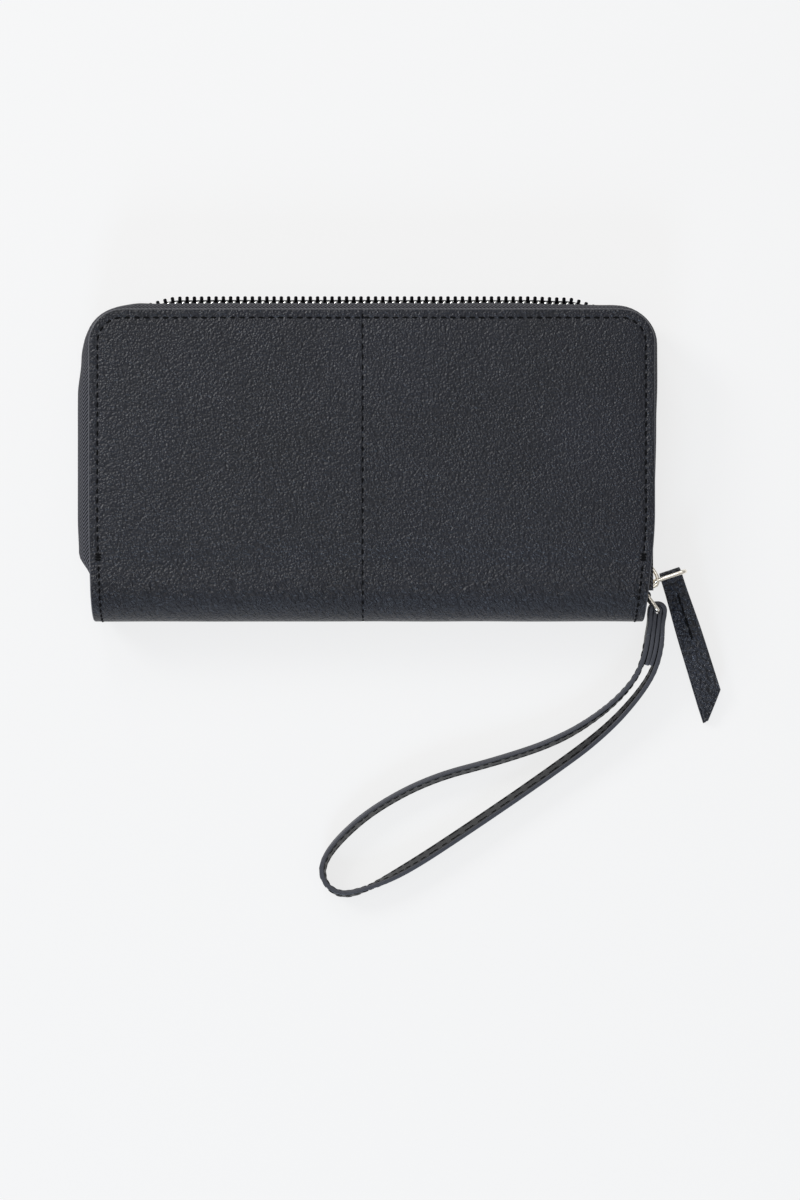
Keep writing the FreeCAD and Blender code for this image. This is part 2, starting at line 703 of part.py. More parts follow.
FOLD_IN = f"({RING_HALF} + ring_play)"
FOLD_OUT = f"({FOLD_IN} + puller_leaf)"
puller = new_body("pull_tab")
side_view = new_sketch(puller, "side_view", "YZ_Plane", "-puller_width / 2")
outline(side_view, [
    ("0", f"-{FOLD_OUT}"), (FOLD_OUT, "0"), ("0", FOLD_OUT),
    ("-puller_merge", "puller_leaf"), ("-puller_length", "puller_leaf"),
    ("-puller_length", "-puller_leaf"), ("-puller_merge", "-puller_leaf"),
], {0: (FOLD_OUT, ("0", "0")), 1: (FOLD_OUT, ("0", "0"))})
pad(puller, side_view, "puller_width")
eye = new_sketch(puller, "eye", "YZ_Plane", "-puller_width / 2 - 1")
outline(eye, [
    ("0", f"-{FOLD_IN}"), (FOLD_IN, "0"), ("0", FOLD_IN), ("-puller_merge + 0.6", "0"),
], {0: (FOLD_IN, ("0", "0")), 1: (FOLD_IN, ("0", "0"))})
pocket(puller, eye, "puller_width + 2", reverse=True)
slant_cut = new_sketch(puller, "slanted_end", "XY_Plane", "-puller_leaf - 1")
outline(slant_cut, [
    ("-puller_width / 2 + puller_tip", "-puller_length"), ("puller_width / 2 + 1", "-puller_length - 1"),
    ("puller_width / 2 + 1", "-puller_length + puller_slant"),
    ("puller_width / 2", "-puller_length + puller_slant"),
])
pocket(puller, slant_cut, "2 * puller_leaf + 2", reverse=True)
tab_middle = size(f"({TAB_START} + puller_width / 2)")
lower_wire = ring_pivot + along_ring * tab_middle - Vector(0, 0, size("ring_gauge") / 2)
slope = Rotation(Vector(1, 0, 0), size("puller_slope"))
puller.Placement = Placement(lower_wire, ring_turn.multiply(slope))

# ---- strap ring on its leather tab, and the wrist strap ----

loop_pivot = Vector(
    size(f"({HALF} - loop_pivot_inset)"), size(f"({AXIS_Y} - loop_pivot_drop)"), size("loop_level"))
loop_turn = Rotation(Vector(0, 0, 1), size("loop_turn"))
along_loop = loop_turn.multVec(Vector(1, 0, 0))
strap_ring = wire_ring("strap_ring", "loop_reach", "loop_height", "loop_corner", "loop_wire")
strap_ring.Placement = Placement(loop_pivot + along_loop * (size("loop_reach") / 2), loop_turn)
loop_bar = loop_pivot + along_loop * size("loop_reach")

TAB_IN = "(loop_wire / 2 + fit_gap)"
TAB_OUT = f"({TAB_IN} + tab_wall)"
tab_low = "(loop_level - tab_height / 2)"
ring_tab = new_body("ring_tab")
foot_plan = new_sketch(ring_tab, "foot", "XY_Plane", f"{SKIN} + tab_foot")
pivot_x = f"({HALF} - loop_pivot_inset)"
pivot_y = f"({AXIS_Y} - loop_pivot_drop)"
outline(foot_plan, box_corners(
    f"({HALF} - tape_grip + 0.1)", f"({pivot_x} - {TAB_IN} - 0.1)",
    f"({pivot_y} - tab_foot_width / 2)", f"({pivot_y} + tab_foot_width / 2)"))
pad(ring_tab, foot_plan, f"loop_level + tab_height / 2 - {SKIN} - tab_foot")
barrel = circle_at(new_sketch(ring_tab, "barrel", "XY_Plane", tab_low), pivot_x, pivot_y, TAB_OUT)
pad(ring_tab, barrel, "tab_height")
eye = circle_at(new_sketch(ring_tab, "eye", "XY_Plane", f"{tab_low} - 1"), pivot_x, pivot_y, TAB_IN)
pocket(ring_tab, eye, "tab_height + 2", reverse=True)

fold = new_body("strap_fold")
FOLD_EYE = TAB_IN
fold_wrap = f"({FOLD_EYE} + 2 * strap_thick)"
plan = new_sketch(fold, "plan", "XY_Plane", "-strap_width / 2")
outline(plan, [
    (fold_wrap, "0"), ("0", fold_wrap), (f"-{fold_wrap}", "0"), ("-2 * strap_thick", "-strap_fold_bend"),
    ("-2 * strap_thick", "-strap_fold_length"), ("2 * strap_thick", "-strap_fold_length"),
    ("2 * strap_thick", "-strap_fold_bend"),
], {0: (fold_wrap, ("0", "0")), 1: (fold_wrap, ("0", "0"))})
pad(fold, plan, "strap_width")
bore = new_sketch(fold, "eye", "XY_Plane", "-strap_width / 2 - 1")
outline(bore, [(FOLD_EYE, "0"), ("0", FOLD_EYE), (f"-{FOLD_EYE}", "0"), ("0", "-2.4")],
        {0: (FOLD_EYE, ("0", "0")), 1: (FOLD_EYE, ("0", "0"))})
pocket(fold, bore, "strap_width + 2", reverse=True)
fold_turn = Rotation(Vector(0, 0, 1), -size("strap_fold_turn"))
fold.Placement = Placement(loop_bar, fold_turn)

# The strap stands on edge: it comes down from the ring, rounds its loop on the table, and goes back up.
# Each point is (right of the ring's outer bar, beyond it, height above the table).
STRAP_ROUTE = [
    (1.48, -8.80, 8.5), (0.66, -16.68, 8.5), (-4.94, -27.48, 6.6), (-17.94, -41.88, 4.4),
    (-39.24, -57.48, 3.6), (-61.74, -72.88, 3.6), (-84.14, -87.68, 3.6), (-98.24, -94.88, 3.6),
    (-106.94, -97.28, 3.6), (-112.64, -93.68, 3.6), (-114.14, -87.18, 3.6), (-108.84, -78.68, 3.6),
    (-96.24, -67.58, 3.6), (-76.74, -57.28, 3.6), (-53.74, -51.28, 3.6), (-33.74, -44.58, 3.6),
    (-19.14, -35.68, 4.4), (-8.54, -25.48, 6.6), (-4.09, -15.88, 8.5), (-3.29, -8.30, 8.5),
]


def bend_radii(points):
    """Each arc is as large as the shorter of its two runs allows."""
    radii = []
    for before, corner, after in zip(points, points[1:], points[2:]):
        shorter = min((corner - before).Length, (after - corner).Length)
        half_turn = (corner - before).getAngle(after - corner) / 2
        radii.append(0.45 * shorter / math.tan(half_turn))
    return radii


def flat_band(points, radii, thick, width):
    """A flat strap on edge along the route, with its width kept upright."""
    path = Part.Wire(rounded_path(points, radii))
    way = (points[1] - points[0]).normalize()
    across = way.cross(Vector(0, 0, 1)).normalize() * (thick / 2)
    up = across.cross(way).normalize() * (width / 2)
    corners = [points[0] + across + up, points[0] - across + up, points[0] - across - up,
               points[0] + across - up]
    sweep = Part.BRepOffsetAPI.MakePipeShell(path)
    sweep.setBiNormalMode(Vector(0, 0, 1))
    sweep.add(Part.makePolygon(corners + corners[:1]))
    sweep.build()
    sweep.makeSolid()
    return path, sweep.shape()


route = [Vector(loop_bar.x + right, loop_bar.y + beyond, level) for right, beyond, level in STRAP_ROUTE]
radii = bend_radii(route)
route_wire, band = flat_band(route, radii, size("strap_thick"), size("strap_width"))
wanted = route_wire.Length * size("strap_thick") * size("strap_width")
print("strap length", round(route_wire.Length, 1), "volume ratio", round(band.Volume / wanted, 3))
free_shape("wrist_strap", band)

# ---- coin zip slider and its pull ----

coin_slider_middle = -size(POCKET_SIDE) + size("coin_slider_start")
cap_half = "(pocket_thick / 2 - 0.1)"
CAP_ROOF = f"({COIN_TAPE_HIGH} + 0.6)"
coin_slider = new_body("coin_slider")
end_view = new_sketch(coin_slider, "end_view", "YZ_Plane", "-coin_slider_length / 2")
cap_low = f"({POCKET_HEAD_Y} + 0.2)"
cap_top = f"({CAP_ROOF} + slider_plate)"
channel_half = "(pocket_thick / 2 - pocket_wall + 0.1)"
outline(end_view, [
    (cap_low, f"(wallet_thick / 2 - {cap_half})"), (cap_top, f"(wallet_thick / 2 - {cap_half})"),
    (cap_top, f"(wallet_thick / 2 + {cap_half})"), (cap_low, f"(wallet_thick / 2 + {cap_half})"),
    (cap_low, f"(wallet_thick / 2 + {channel_half})"), (CAP_ROOF, f"(wallet_thick / 2 + {channel_half})"),
    (CAP_ROOF, f"(wallet_thick / 2 - {channel_half})"), (cap_low, f"(wallet_thick / 2 - {channel_half})"),
])
pad(coin_slider, end_view, "coin_slider_length")
pin_y = f"({cap_top} + pin_rise)"
for low in ("- ear_outer", "+ ear_inner"):
    ear = new_sketch(coin_slider, "ear", "XY_Plane", f"wallet_thick / 2 {low}")
    outline(ear, box_corners("-1.2", "1.2", f"({cap_top} - 0.2)", f"({cap_top} + ear_rise)"))
    pad(coin_slider, ear, "ear_outer - ear_inner")
bore_sketch = new_sketch(coin_slider, "pin_bore", "XY_Plane", "wallet_thick / 2 - ear_outer - 1")
bore = circle_at(bore_sketch, "0", pin_y, "pin_bore_radius")
pocket(coin_slider, bore, "2 * ear_outer + 2", reverse=True)
coin_slider.Placement = Placement(Vector(coin_slider_middle, 0, 0), Rotation())

coin_pull = new_body("coin_pull")
pin = circle_at(new_sketch(coin_pull, "pin", "XY_Plane", "-ear_outer"), "0", "0", "pin_radius")
pad(coin_pull, pin, "2 * ear_outer")
blade = new_sketch(coin_pull, "blade", "XZ_Plane", "-coin_blade_thick / 2")
outline(blade, [
    ("-0.4", "-0.9"), ("1.8", "-0.9"), ("3.0", "-2"), ("coin_pull_length", "-2"),
    ("coin_pull_length", "2"), ("3.0", "2"), ("1.8", "0.9"), ("-0.4", "0.9"),
])
pad(coin_pull, blade, "coin_blade_thick")
coin_pull.Placement = Placement(Vector(coin_slider_middle, size(pin_y), middle), Rotation())


# ---- every object is checked, then each piece is written ----

doc.recompute()
for item in doc.Objects:
    if "Invalid" in item.State or "Error" in item.State:
        raise RuntimeError(f"{item.Label} failed: {item.State}")
for piece in parts:
    if piece.Shape.isNull() or not piece.Shape.isValid():
        raise RuntimeError(f"{piece.Label} has no valid shape")

os.makedirs("parts", exist_ok=True)
for piece in parts:
    piece.Shape.exportStep(f"parts/{piece.Label}.step")
print(len(parts), "pieces written")
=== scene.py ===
# %% [markdown]
# # A zip-around wristlet wallet
# A leather wallet that closes with a zip round three sides, carried by a strap loop at the end of its spine.
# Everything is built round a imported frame: every length is in metres, +X runs along the spine towards the
# strap, +Y goes from the spine to the zipped edge, and +Z goes from the back cover to the front cover.

# %% Load the frame
import bmesh
import bpy
import json
import math
from mathutils import Matrix, Vector, noise


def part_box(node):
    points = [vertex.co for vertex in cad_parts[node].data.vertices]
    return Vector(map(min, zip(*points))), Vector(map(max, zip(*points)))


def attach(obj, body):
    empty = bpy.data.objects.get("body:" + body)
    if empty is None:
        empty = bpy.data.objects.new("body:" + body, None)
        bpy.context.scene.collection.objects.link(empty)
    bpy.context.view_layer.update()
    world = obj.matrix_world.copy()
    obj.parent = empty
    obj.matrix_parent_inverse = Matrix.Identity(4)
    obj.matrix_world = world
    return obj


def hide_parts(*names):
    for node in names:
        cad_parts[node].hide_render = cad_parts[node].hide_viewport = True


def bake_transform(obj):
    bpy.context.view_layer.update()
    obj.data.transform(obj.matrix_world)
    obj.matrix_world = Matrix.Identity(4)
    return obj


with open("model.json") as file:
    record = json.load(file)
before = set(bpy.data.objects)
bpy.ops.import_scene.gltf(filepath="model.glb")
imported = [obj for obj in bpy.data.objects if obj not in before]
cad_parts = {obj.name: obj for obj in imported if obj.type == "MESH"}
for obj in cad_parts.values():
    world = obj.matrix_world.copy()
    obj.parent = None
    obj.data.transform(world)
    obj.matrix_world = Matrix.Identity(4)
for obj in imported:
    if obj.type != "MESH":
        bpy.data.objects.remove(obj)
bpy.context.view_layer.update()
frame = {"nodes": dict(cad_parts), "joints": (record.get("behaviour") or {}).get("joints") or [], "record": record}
MM = 0.001

# %% [markdown]
# ## The view and the light
# The wallet lies on a pale table and is seen from straight above, from about a metre, so the verticals hardly
# lean. A broad even sky keeps the table one tone. A bluish lamp beyond the spine draws the sheen along its
# roll, and one at the upper left gives the grain some relief. Three weaker ones fill in from the far side,
# over the rings and over the zipped edge.

# %% Camera
eye = bpy.data.cameras.new("eye")
eye.sensor_fit = "VERTICAL"
eye.sensor_height = 36
VIEW_HEIGHT = 1.1
VIEW_TALL = 0.402      # the picture's height takes in this much at the level of the wallet's top
WALLET_THICK = 22 * MM
eye.lens = eye.sensor_height * (VIEW_HEIGHT - WALLET_THICK) / VIEW_TALL
camera = bpy.data.objects.new("camera", eye)
camera.location = (9.5 * MM, -45.2 * MM, VIEW_HEIGHT)
bpy.context.scene.collection.objects.link(camera)
bpy.context.scene.camera = camera
print("lens", round(eye.lens, 1), "mm")

# %% Colours and nodes
def linear(code):
    """An sRGB hex colour as linear red, green, blue and alpha."""
    parts = [int(code[i:i + 2], 16) / 255 for i in (1, 3, 5)]
    return [c / 12.92 if c <= 0.04045 else ((c + 0.055) / 1.055) ** 2.4 for c in parts] + [1.0]


def add(tree, kind, inputs=(), **settings):
    """Adds a node. settings are its properties, and inputs are values or sockets for its inputs."""
    made = tree.nodes.new(kind)
    for name, value in settings.items():
        setattr(made, name, value)
    for name, value in dict(inputs).items():
        if isinstance(value, bpy.types.NodeSocket):
            tree.links.new(value, made.inputs[name])
        else:
            made.inputs[name].default_value = value
    return made


def finish_named(name, **values):
    """A new material and its shader, with constants set on the shader's own sockets."""
    material = bpy.data.materials.new(name)
    material.use_nodes = True
    shader = material.node_tree.nodes["Principled BSDF"]
    for socket, value in values.items():
        shader.inputs[socket.replace("_", " ")].default_value = value
    return material, material.node_tree, shader


print("helpers for colours and nodes are ready")

# %% Table and lights
table_paint, tree, shader = finish_named(
    "lit_white_table", Roughness=0.9, Emission_Color=linear("#FFFFFF"), Emission_Strength=0.775)
fleck = add(tree, "ShaderNodeTexNoise", {"Scale": 3.0})
tree.links.new(add(tree, "ShaderNodeMix", {
    "Factor": fleck.outputs["Fac"], 6: linear("#636363"), 7: linear("#606060")},
    data_type="RGBA").outputs[2], shader.inputs["Base Color"])
bm = bmesh.new()
bmesh.ops.create_grid(bm, x_segments=1, y_segments=1, size=3.0)
bmesh.ops.translate(bm, vec=(0, 0, -0.05 * MM), verts=bm.verts)
table_mesh = bpy.data.meshes.new("table")
bm.to_mesh(table_mesh)
table_mesh.materials.append(table_paint)
table = bpy.data.objects.new("table", table_mesh)
bpy.context.scene.collection.objects.link(table)

sky = bpy.data.worlds.new("studio")
sky.use_nodes = True
sky.node_tree.nodes["Background"].inputs["Color"].default_value = (1, 1, 1, 1)
sky.node_tree.nodes["Background"].inputs["Strength"].default_value = 0.38
bpy.context.scene.world = sky
bpy.context.scene.view_settings.view_transform = "Standard"


def lamp(name, place, target, wide, power, colour=(1, 1, 1)):
    """A square soft lamp that looks at the target."""
    light = bpy.data.lights.new(name, "AREA")
    light.size = wide
    light.energy = power
    light.color = colour
    holder = bpy.data.objects.new(name, light)
    holder.location = place
    holder.rotation_euler = (Vector(target) - Vector(place)).to_track_quat("-Z", "Y").to_euler()
    bpy.context.scene.collection.objects.link(holder)


lamp("upper_left_lamp", (-1.3, 0.9, 1.0), (0, 0, 0), 0.6, 18)
lamp("far_lamp", (-0.45, 1.5, 1.1), (0, 0, 0), 0.6, 7)
lamp("ring_lamp", (0.2, -0.03, 1.3), (0.1, -0.04, 0), 0.16, 0.25)
lamp("spine_lamp", (-0.3, -1.6, 0.85), (0, -0.05, 0.01), 0.5, 17, (0.66, 0.80, 1.0))
lamp("high_panel", (-0.08, 0.4, 1.3), (-0.08, 0.1, 0), 0.5, 1.2)
print("lights:", [light.name for light in bpy.data.lights])

# %% [markdown]
# ## The leathers
# The covers are full-grain cowhide with a pebbled print, dyed black and given a satin top coat. The print is
# rounded pebbles just under a millimetre across with sharp valleys, so a smooth Voronoi pattern with bent
# coordinates gives its height. Where the hide is rolled round the spine the pebbles are pulled into creases.

# %% Pebbled leather
GRAIN = 0.8 * MM       # one pebble
CREASE = 1.1 * MM      # across one crease
SLANT_DEGREES = 28     # the creases lean this far from square across the spine
CREASES_START = -34 * MM
CREASES_FULL = -46 * MM
DYE = linear("#0D0F16")
DYE_WEAR_AND_HIGHLIGHT = linear("#1B1D26")


def leather(name, pebble, relief, rough, dye=DYE, wear_and_highlight=DYE_WEAR_AND_HIGHLIGHT, crease=0.0):
    """Printed hide: pebble is the size of the grain in metres, and relief its depth in metres."""
    material, tree, shader = finish_named(name, Roughness=rough, Specular_IOR_Level=0.44)
    place = add(tree, "ShaderNodeTexCoord").outputs["Object"]
    bend = add(tree, "ShaderNodeTexNoise", {"Vector": place, "Scale": 0.45 / pebble, "Detail": 2.0})
    bent = add(tree, "ShaderNodeMix", {
        "Factor": 0.0011, 4: place, 5: bend.outputs["Color"]}, data_type="VECTOR")
    pebbles = add(tree, "ShaderNodeTexVoronoi", {
        "Vector": bent.outputs[1], "Scale": 1 / pebble, "Smoothness": 0.35}, feature="SMOOTH_F1")
    pores = add(tree, "ShaderNodeTexNoise", {"Vector": place, "Scale": 3.2 / pebble, "Detail": 3.0})
    dome = add(tree, "ShaderNodeMath", {0: 1.0, 1: pebbles.outputs["Distance"]}, operation="SUBTRACT")
    height = add(tree, "ShaderNodeMath", {
        0: pores.outputs["Fac"], 1: 0.12, 2: dome.outputs[0]}, operation="MULTIPLY_ADD").outputs[0]
    if crease:
        pulled = add(tree, "ShaderNodeMapping", {
            "Vector": bent.outputs[1], "Rotation": (0, 0, math.radians(SLANT_DEGREES)),
            "Scale": (CREASE, 3.5 * CREASE, 3.5 * CREASE)}, vector_type="TEXTURE")
        folds = add(tree, "ShaderNodeTexNoise", {
            "Vector": pulled.outputs["Vector"], "Scale": 1.0, "Detail": 3.0, "Roughness": 0.6})
        split = add(tree, "ShaderNodeSeparateXYZ", {"Vector": place})
        near = add(tree, "ShaderNodeMapRange", {
            "Value": split.outputs["Y"], "From Min": CREASES_START, "From Max": CREASES_FULL,
            "To Max": crease})
        height = add(tree, "ShaderNodeMath", {
            0: folds.outputs["Fac"], 1: near.outputs["Result"], 2: height},
            operation="MULTIPLY_ADD").outputs[0]
    bump = add(tree, "ShaderNodeBump", {"Height": height, "Distance": relief, "Strength": 0.9})
    tree.links.new(bump.outputs["Normal"], shader.inputs["Normal"])
    cloud = add(tree, "ShaderNodeTexNoise", {"Vector": place, "Scale": 26.0, "Detail": 3.0})
    # Pebble tops are mixed towards the paler colour: partly rubbed wear and partly a painted highlight. The cloud
    # adds random patches of tone.
    patch = add(tree, "ShaderNodeMath", {
        0: dome.outputs[0], 1: 0.5, 2: cloud.outputs["Fac"]}, operation="MULTIPLY_ADD")
    tone = add(tree, "ShaderNodeMapRange", {"Value": patch.outputs[0], "From Min": 0.45, "From Max": 1.1})
    tint = add(tree, "ShaderNodeMix", {"Factor": tone.outputs["Result"], 6: dye, 7: wear_and_highlight}, data_type="RGBA")
    tree.links.new(tint.outputs[2], shader.inputs["Base Color"])
    gloss = add(tree, "ShaderNodeMapRange", {
        "Value": cloud.outputs["Fac"], "To Min": rough + 0.06, "To Max": rough - 0.06})
    tree.links.new(gloss.outputs["Result"], shader.inputs["Roughness"])
    return material


cover_leather = leather("pebbled_black_cowhide", GRAIN, 0.42 * MM, 0.4, crease=4.0)
# The puller's pebble tops are drawn much paler, as wear and as a painted highlight.
puller_leather = leather(
    "pebbled_puller_cowhide", 1.25 * MM, 2.2 * MM, 0.34, linear("#0A0B0F"), linear("#33363F"))
strap_leather = leather(
    "smooth_strap_cowhide", 0.55 * MM, 0.04 * MM, 0.55, linear("#08090B"), linear("#111216"))
card_leather = leather("thin_smooth_split_leather", 0.6 * MM, 0.04 * MM, 0.5)
print("leathers:", cover_leather.name, puller_leather.name, strap_leather.name, card_leather.name)

# %% [markdown]
# Cut leather edges are sealed with several coats of acrylic edge paint. It dries smoother than the hide and
# slightly lumpy along its length. It is drawn a little paler than the hide, partly its own tone and partly a
# painted highlight for the light that the rounded edge catches; on the covers it laps onto the face as a thin
# line.

# %% Edge paint, thread and board
def rubbed(name, colours, scale, rough, relief):
    """A plain finish with two close tones and a fine relief, from one noise pattern."""
    material, tree, shader = finish_named(name, Roughness=rough)
    place = add(tree, "ShaderNodeTexCoord").outputs["Object"]
    grain = add(tree, "ShaderNodeTexNoise", {"Vector": place, "Scale": 1 / scale, "Detail": 4.0})
    tint = add(tree, "ShaderNodeMix", {
        "Factor": grain.outputs["Fac"], 6: linear(colours[0]), 7: linear(colours[1])}, data_type="RGBA")
    tree.links.new(tint.outputs[2], shader.inputs["Base Color"])
    bump = add(tree, "ShaderNodeBump", {"Height": grain.outputs["Fac"], "Distance": relief, "Strength": 0.7})
    tree.links.new(bump.outputs["Normal"], shader.inputs["Normal"])
    return material


edge_paint_and_highlight = rubbed("edge_paint_and_painted_highlight", ("#3E3F45", "#505157"), 2.0 * MM, 0.36, 0.05 * MM)
strap_edge_paint = rubbed("grey_black_edge_paint", ("#34353B", "#45464D"), 1.2 * MM, 0.42, 0.05 * MM)
thread = rubbed("black_polyester_thread", ("#050506", "#0A0A0C"), 0.25 * MM, 0.9, 0.04 * MM)
thread.node_tree.nodes["Principled BSDF"].inputs["Specular IOR Level"].default_value = 0.15
bonded_board = rubbed("bonded_leather_board", ("#2A2623", "#37322D"), 0.8 * MM, 0.85, 0.03 * MM)
print("edge paint, thread and board are ready")

# %% [markdown]
# ## The cloths
# The zip tape is polyester woven in a herringbone: diagonal ribs that turn back every few threads. The tape
# pieces carry a UV map in metres, along and across the tape, so the ribs follow it round the corners. The
# lining is a fine twill, whose single diagonal reads Object coordinates.

# %% Zip tape and lining cloth
RIB = 1.3 * MM         # one diagonal rib, drawn a little coarser than the cloth so that it shows
BAND = 2.6 * MM        # the ribs turn back at this width
FUZZ = 0.25 * MM       # the loose fibres on the cloth
material, tree, shader = finish_named("herringbone_zip_tape", Roughness=0.85, Specular_IOR_Level=0.2)
zip_cloth = material
uv = add(tree, "ShaderNodeSeparateXYZ", {"Vector": add(tree, "ShaderNodeTexCoord").outputs["UV"]})
turned = add(tree, "ShaderNodeMath", {0: uv.outputs["Y"], 1: BAND}, operation="PINGPONG")
along = add(tree, "ShaderNodeMath", {0: uv.outputs["X"], 1: turned.outputs[0]}, operation="ADD")
turns = add(tree, "ShaderNodeMath", {0: along.outputs[0], 1: math.tau / RIB}, operation="MULTIPLY")
ribs = add(tree, "ShaderNodeMath", {0: turns.outputs[0]}, operation="SINE")
fuzz = add(tree, "ShaderNodeTexNoise", {
    "Vector": add(tree, "ShaderNodeTexCoord").outputs["Object"], "Scale": 1 / FUZZ, "Detail": 2.0})
cloth = add(tree, "ShaderNodeMath", {
    0: fuzz.outputs["Fac"], 1: 0.6, 2: ribs.outputs[0]}, operation="MULTIPLY_ADD")
tree.links.new(add(tree, "ShaderNodeBump", {
    "Height": cloth.outputs[0], "Distance": 0.06 * MM, "Strength": 0.9}).outputs["Normal"],
    shader.inputs["Normal"])
share = add(tree, "ShaderNodeMapRange", {"Value": cloth.outputs[0], "From Min": -0.5, "From Max": 1.3})
tree.links.new(add(tree, "ShaderNodeMix", {
    "Factor": share.outputs["Result"], 6: linear("#020203"), 7: linear("#5E5E64")},
    data_type="RGBA").outputs[2], shader.inputs["Base Color"])


WAVE_GAP = 0.314       # a wave texture's bands along an axis are this far apart at scale 1


def twill(name, rib, dark, light):
    """A fine twill: one diagonal rib crossed by the threads, on Object coordinates."""
    material, tree, shader = finish_named(name, Roughness=0.8, Sheen_Weight=0.2)
    place = add(tree, "ShaderNodeTexCoord").outputs["Object"]
    diagonal = add(tree, "ShaderNodeTexWave", {
        "Vector": place, "Scale": WAVE_GAP / rib, "Distortion": 0.6, "Detail": 1.0},
        bands_direction="DIAGONAL")
    threads = add(tree, "ShaderNodeTexWave", {
        "Vector": place, "Scale": WAVE_GAP / (0.6 * rib)}, bands_direction="Y")
    cloth = add(tree, "ShaderNodeMath", {
        0: threads.outputs["Fac"], 1: 0.35, 2: diagonal.outputs["Fac"]}, operation="MULTIPLY_ADD")
    tree.links.new(add(tree, "ShaderNodeBump", {
        "Height": cloth.outputs[0], "Distance": 0.06 * MM, "Strength": 0.7}).outputs["Normal"],
        shader.inputs["Normal"])
    tree.links.new(add(tree, "ShaderNodeMix", {
        "Factor": cloth.outputs[0], 6: linear(dark), 7: linear(light)},
        data_type="RGBA").outputs[2], shader.inputs["Base Color"])
    return material


lining_cloth = twill("black_twill_lining", 0.6 * MM, "#111113", "#232327")
print("cloths:", zip_cloth.name, lining_cloth.name)

# %% [markdown]
# ## The metals
# The slider, its crown and the rings are zinc castings and bent wire with a polished nickel plate of a warm,
# champagne tone. The zip's teeth are brighter and cooler. Handling leaves faint smears, which only change
# the roughness.

# %% Nickel
def plated(name, colour, rough, smear):
    """Polished plating: a metal with faint smears in its roughness."""
    material, tree, shader = finish_named(name, Base_Color=linear(colour), Metallic=1.0, Roughness=rough)
    place = add(tree, "ShaderNodeTexCoord").outputs["Object"]
    smears = add(tree, "ShaderNodeTexNoise", {"Vector": place, "Scale": 700.0, "Detail": 3.0})
    spread = add(tree, "ShaderNodeMapRange", {
        "Value": smears.outputs["Fac"], "To Min": rough - smear, "To Max": rough + smear})
    tree.links.new(spread.outputs["Result"], shader.inputs["Roughness"])
    orange_peel = add(tree, "ShaderNodeBump", {
        "Height": smears.outputs["Fac"], "Distance": 0.01 * MM, "Strength": 0.12})
    tree.links.new(orange_peel.outputs["Normal"], shader.inputs["Normal"])
    return material


warm_nickel = plated("polished_champagne_nickel", "#F8F1E4", 0.2, 0.05)
tooth_nickel = plated("bright_nickel_teeth", "#EDEDEB", 0.2, 0.05)
# A dark finish that is painted shade on the teeth's faces turned towards the other row.
tooth_painted_shade = plated("painted_shade_on_teeth", "#141417", 0.45, 0.05)
print("metals:", warm_nickel.name, tooth_nickel.name)

# %% [markdown]
# ## Meshes from grids and stitches
# Leather, tape and straps are all thin sheets. Each starts as a flat grid from bmesh, whose corners are then
# put on the sheet's real surface, and gets its thickness from a Solidify modifier. The UV map keeps the
# sheet's own two lengths. A stitch is a short capsule of thread that sinks into the leather.

# %% Sheet and stitch makers
def keep(name, bm, materials):
    """Turns a bmesh into a smooth-shaded object of the scene."""
    mesh = bpy.data.meshes.new(name)
    bm.to_mesh(mesh)
    bm.free()
    for material in materials:
        mesh.materials.append(material)
    mesh.shade_smooth()
    piece = bpy.data.objects.new(name, mesh)
    bpy.context.scene.collection.objects.link(piece)
    return piece


def grid_sheet(name, across, along, place, facing, materials):
    """A grid whose corner (i, j) goes where place(i, j) says. place gives the point and its two lengths."""
    bm = bmesh.new()
    bmesh.ops.create_grid(bm, x_segments=across, y_segments=along, size=0.5)
    lengths = bm.loops.layers.uv.new("UVMap")
    spots = {vert: place(round((vert.co.x + 0.5) * across), round((vert.co.y + 0.5) * along))
             for vert in bm.verts}
    for face in bm.faces:
        for loop in face.loops:
            loop[lengths].uv = spots[loop.vert][1]
    for vert, (spot, _) in spots.items():
        vert.co = spot
    bm.normal_update()
    middle = min(bm.faces, key=lambda face: (face.calc_center_median() - Vector(facing[0])).length)
    if middle.normal.dot(Vector(facing[1])) < 0:
        bmesh.ops.reverse_faces(bm, faces=bm.faces)
    return keep(name, bm, materials)


def settle(piece):
    """Applies a piece's modifiers, so that its mesh is final."""
    graph = bpy.context.evaluated_depsgraph_get()
    final = bpy.data.meshes.new_from_object(piece.evaluated_get(graph))
    piece.modifiers.clear()
    piece.data = final
    return piece


def thicken(piece, thick, side, round_edge, rim=1, even=True):
    """Gives a sheet its thickness, side -1 being inwards and 0 both ways, and rounds its cut edges."""
    wall = piece.modifiers.new("wall", "SOLIDIFY")
    wall.thickness = thick
    wall.offset = side
    wall.use_even_offset = even
    wall.material_offset_rim = rim
    if round_edge:
        edge = piece.modifiers.new("edge", "BEVEL")
        edge.width = round_edge
        edge.segments = 2
        edge.limit_method = "ANGLE"
        edge.angle_limit = math.radians(55)
    return settle(piece)


def sew(name, spots, long=2.6 * MM, thick=0.62 * MM, skew=4.0):
    """Stitches at the spots, each (point, along, outward): flattened capsules, a few dozen faces each."""
    bm = bmesh.new()
    for point, along, outward in spots:
        lie = along.normalized()
        side = outward.cross(lie).normalized()
        lie = Matrix.Rotation(math.radians(skew), 3, side.cross(lie)) @ lie
        side = outward.cross(lie).normalized()
        up = lie.cross(side)
        turn = Matrix((lie * long, side * thick, up * thick * 0.8)).transposed().to_4x4()
        bmesh.ops.create_uvsphere(
            bm, u_segments=6, v_segments=5, radius=0.5,
            matrix=Matrix.Translation(point) @ turn @ Matrix.Rotation(math.pi / 2, 4, "Y"))
    return keep(name, bm, [thread])


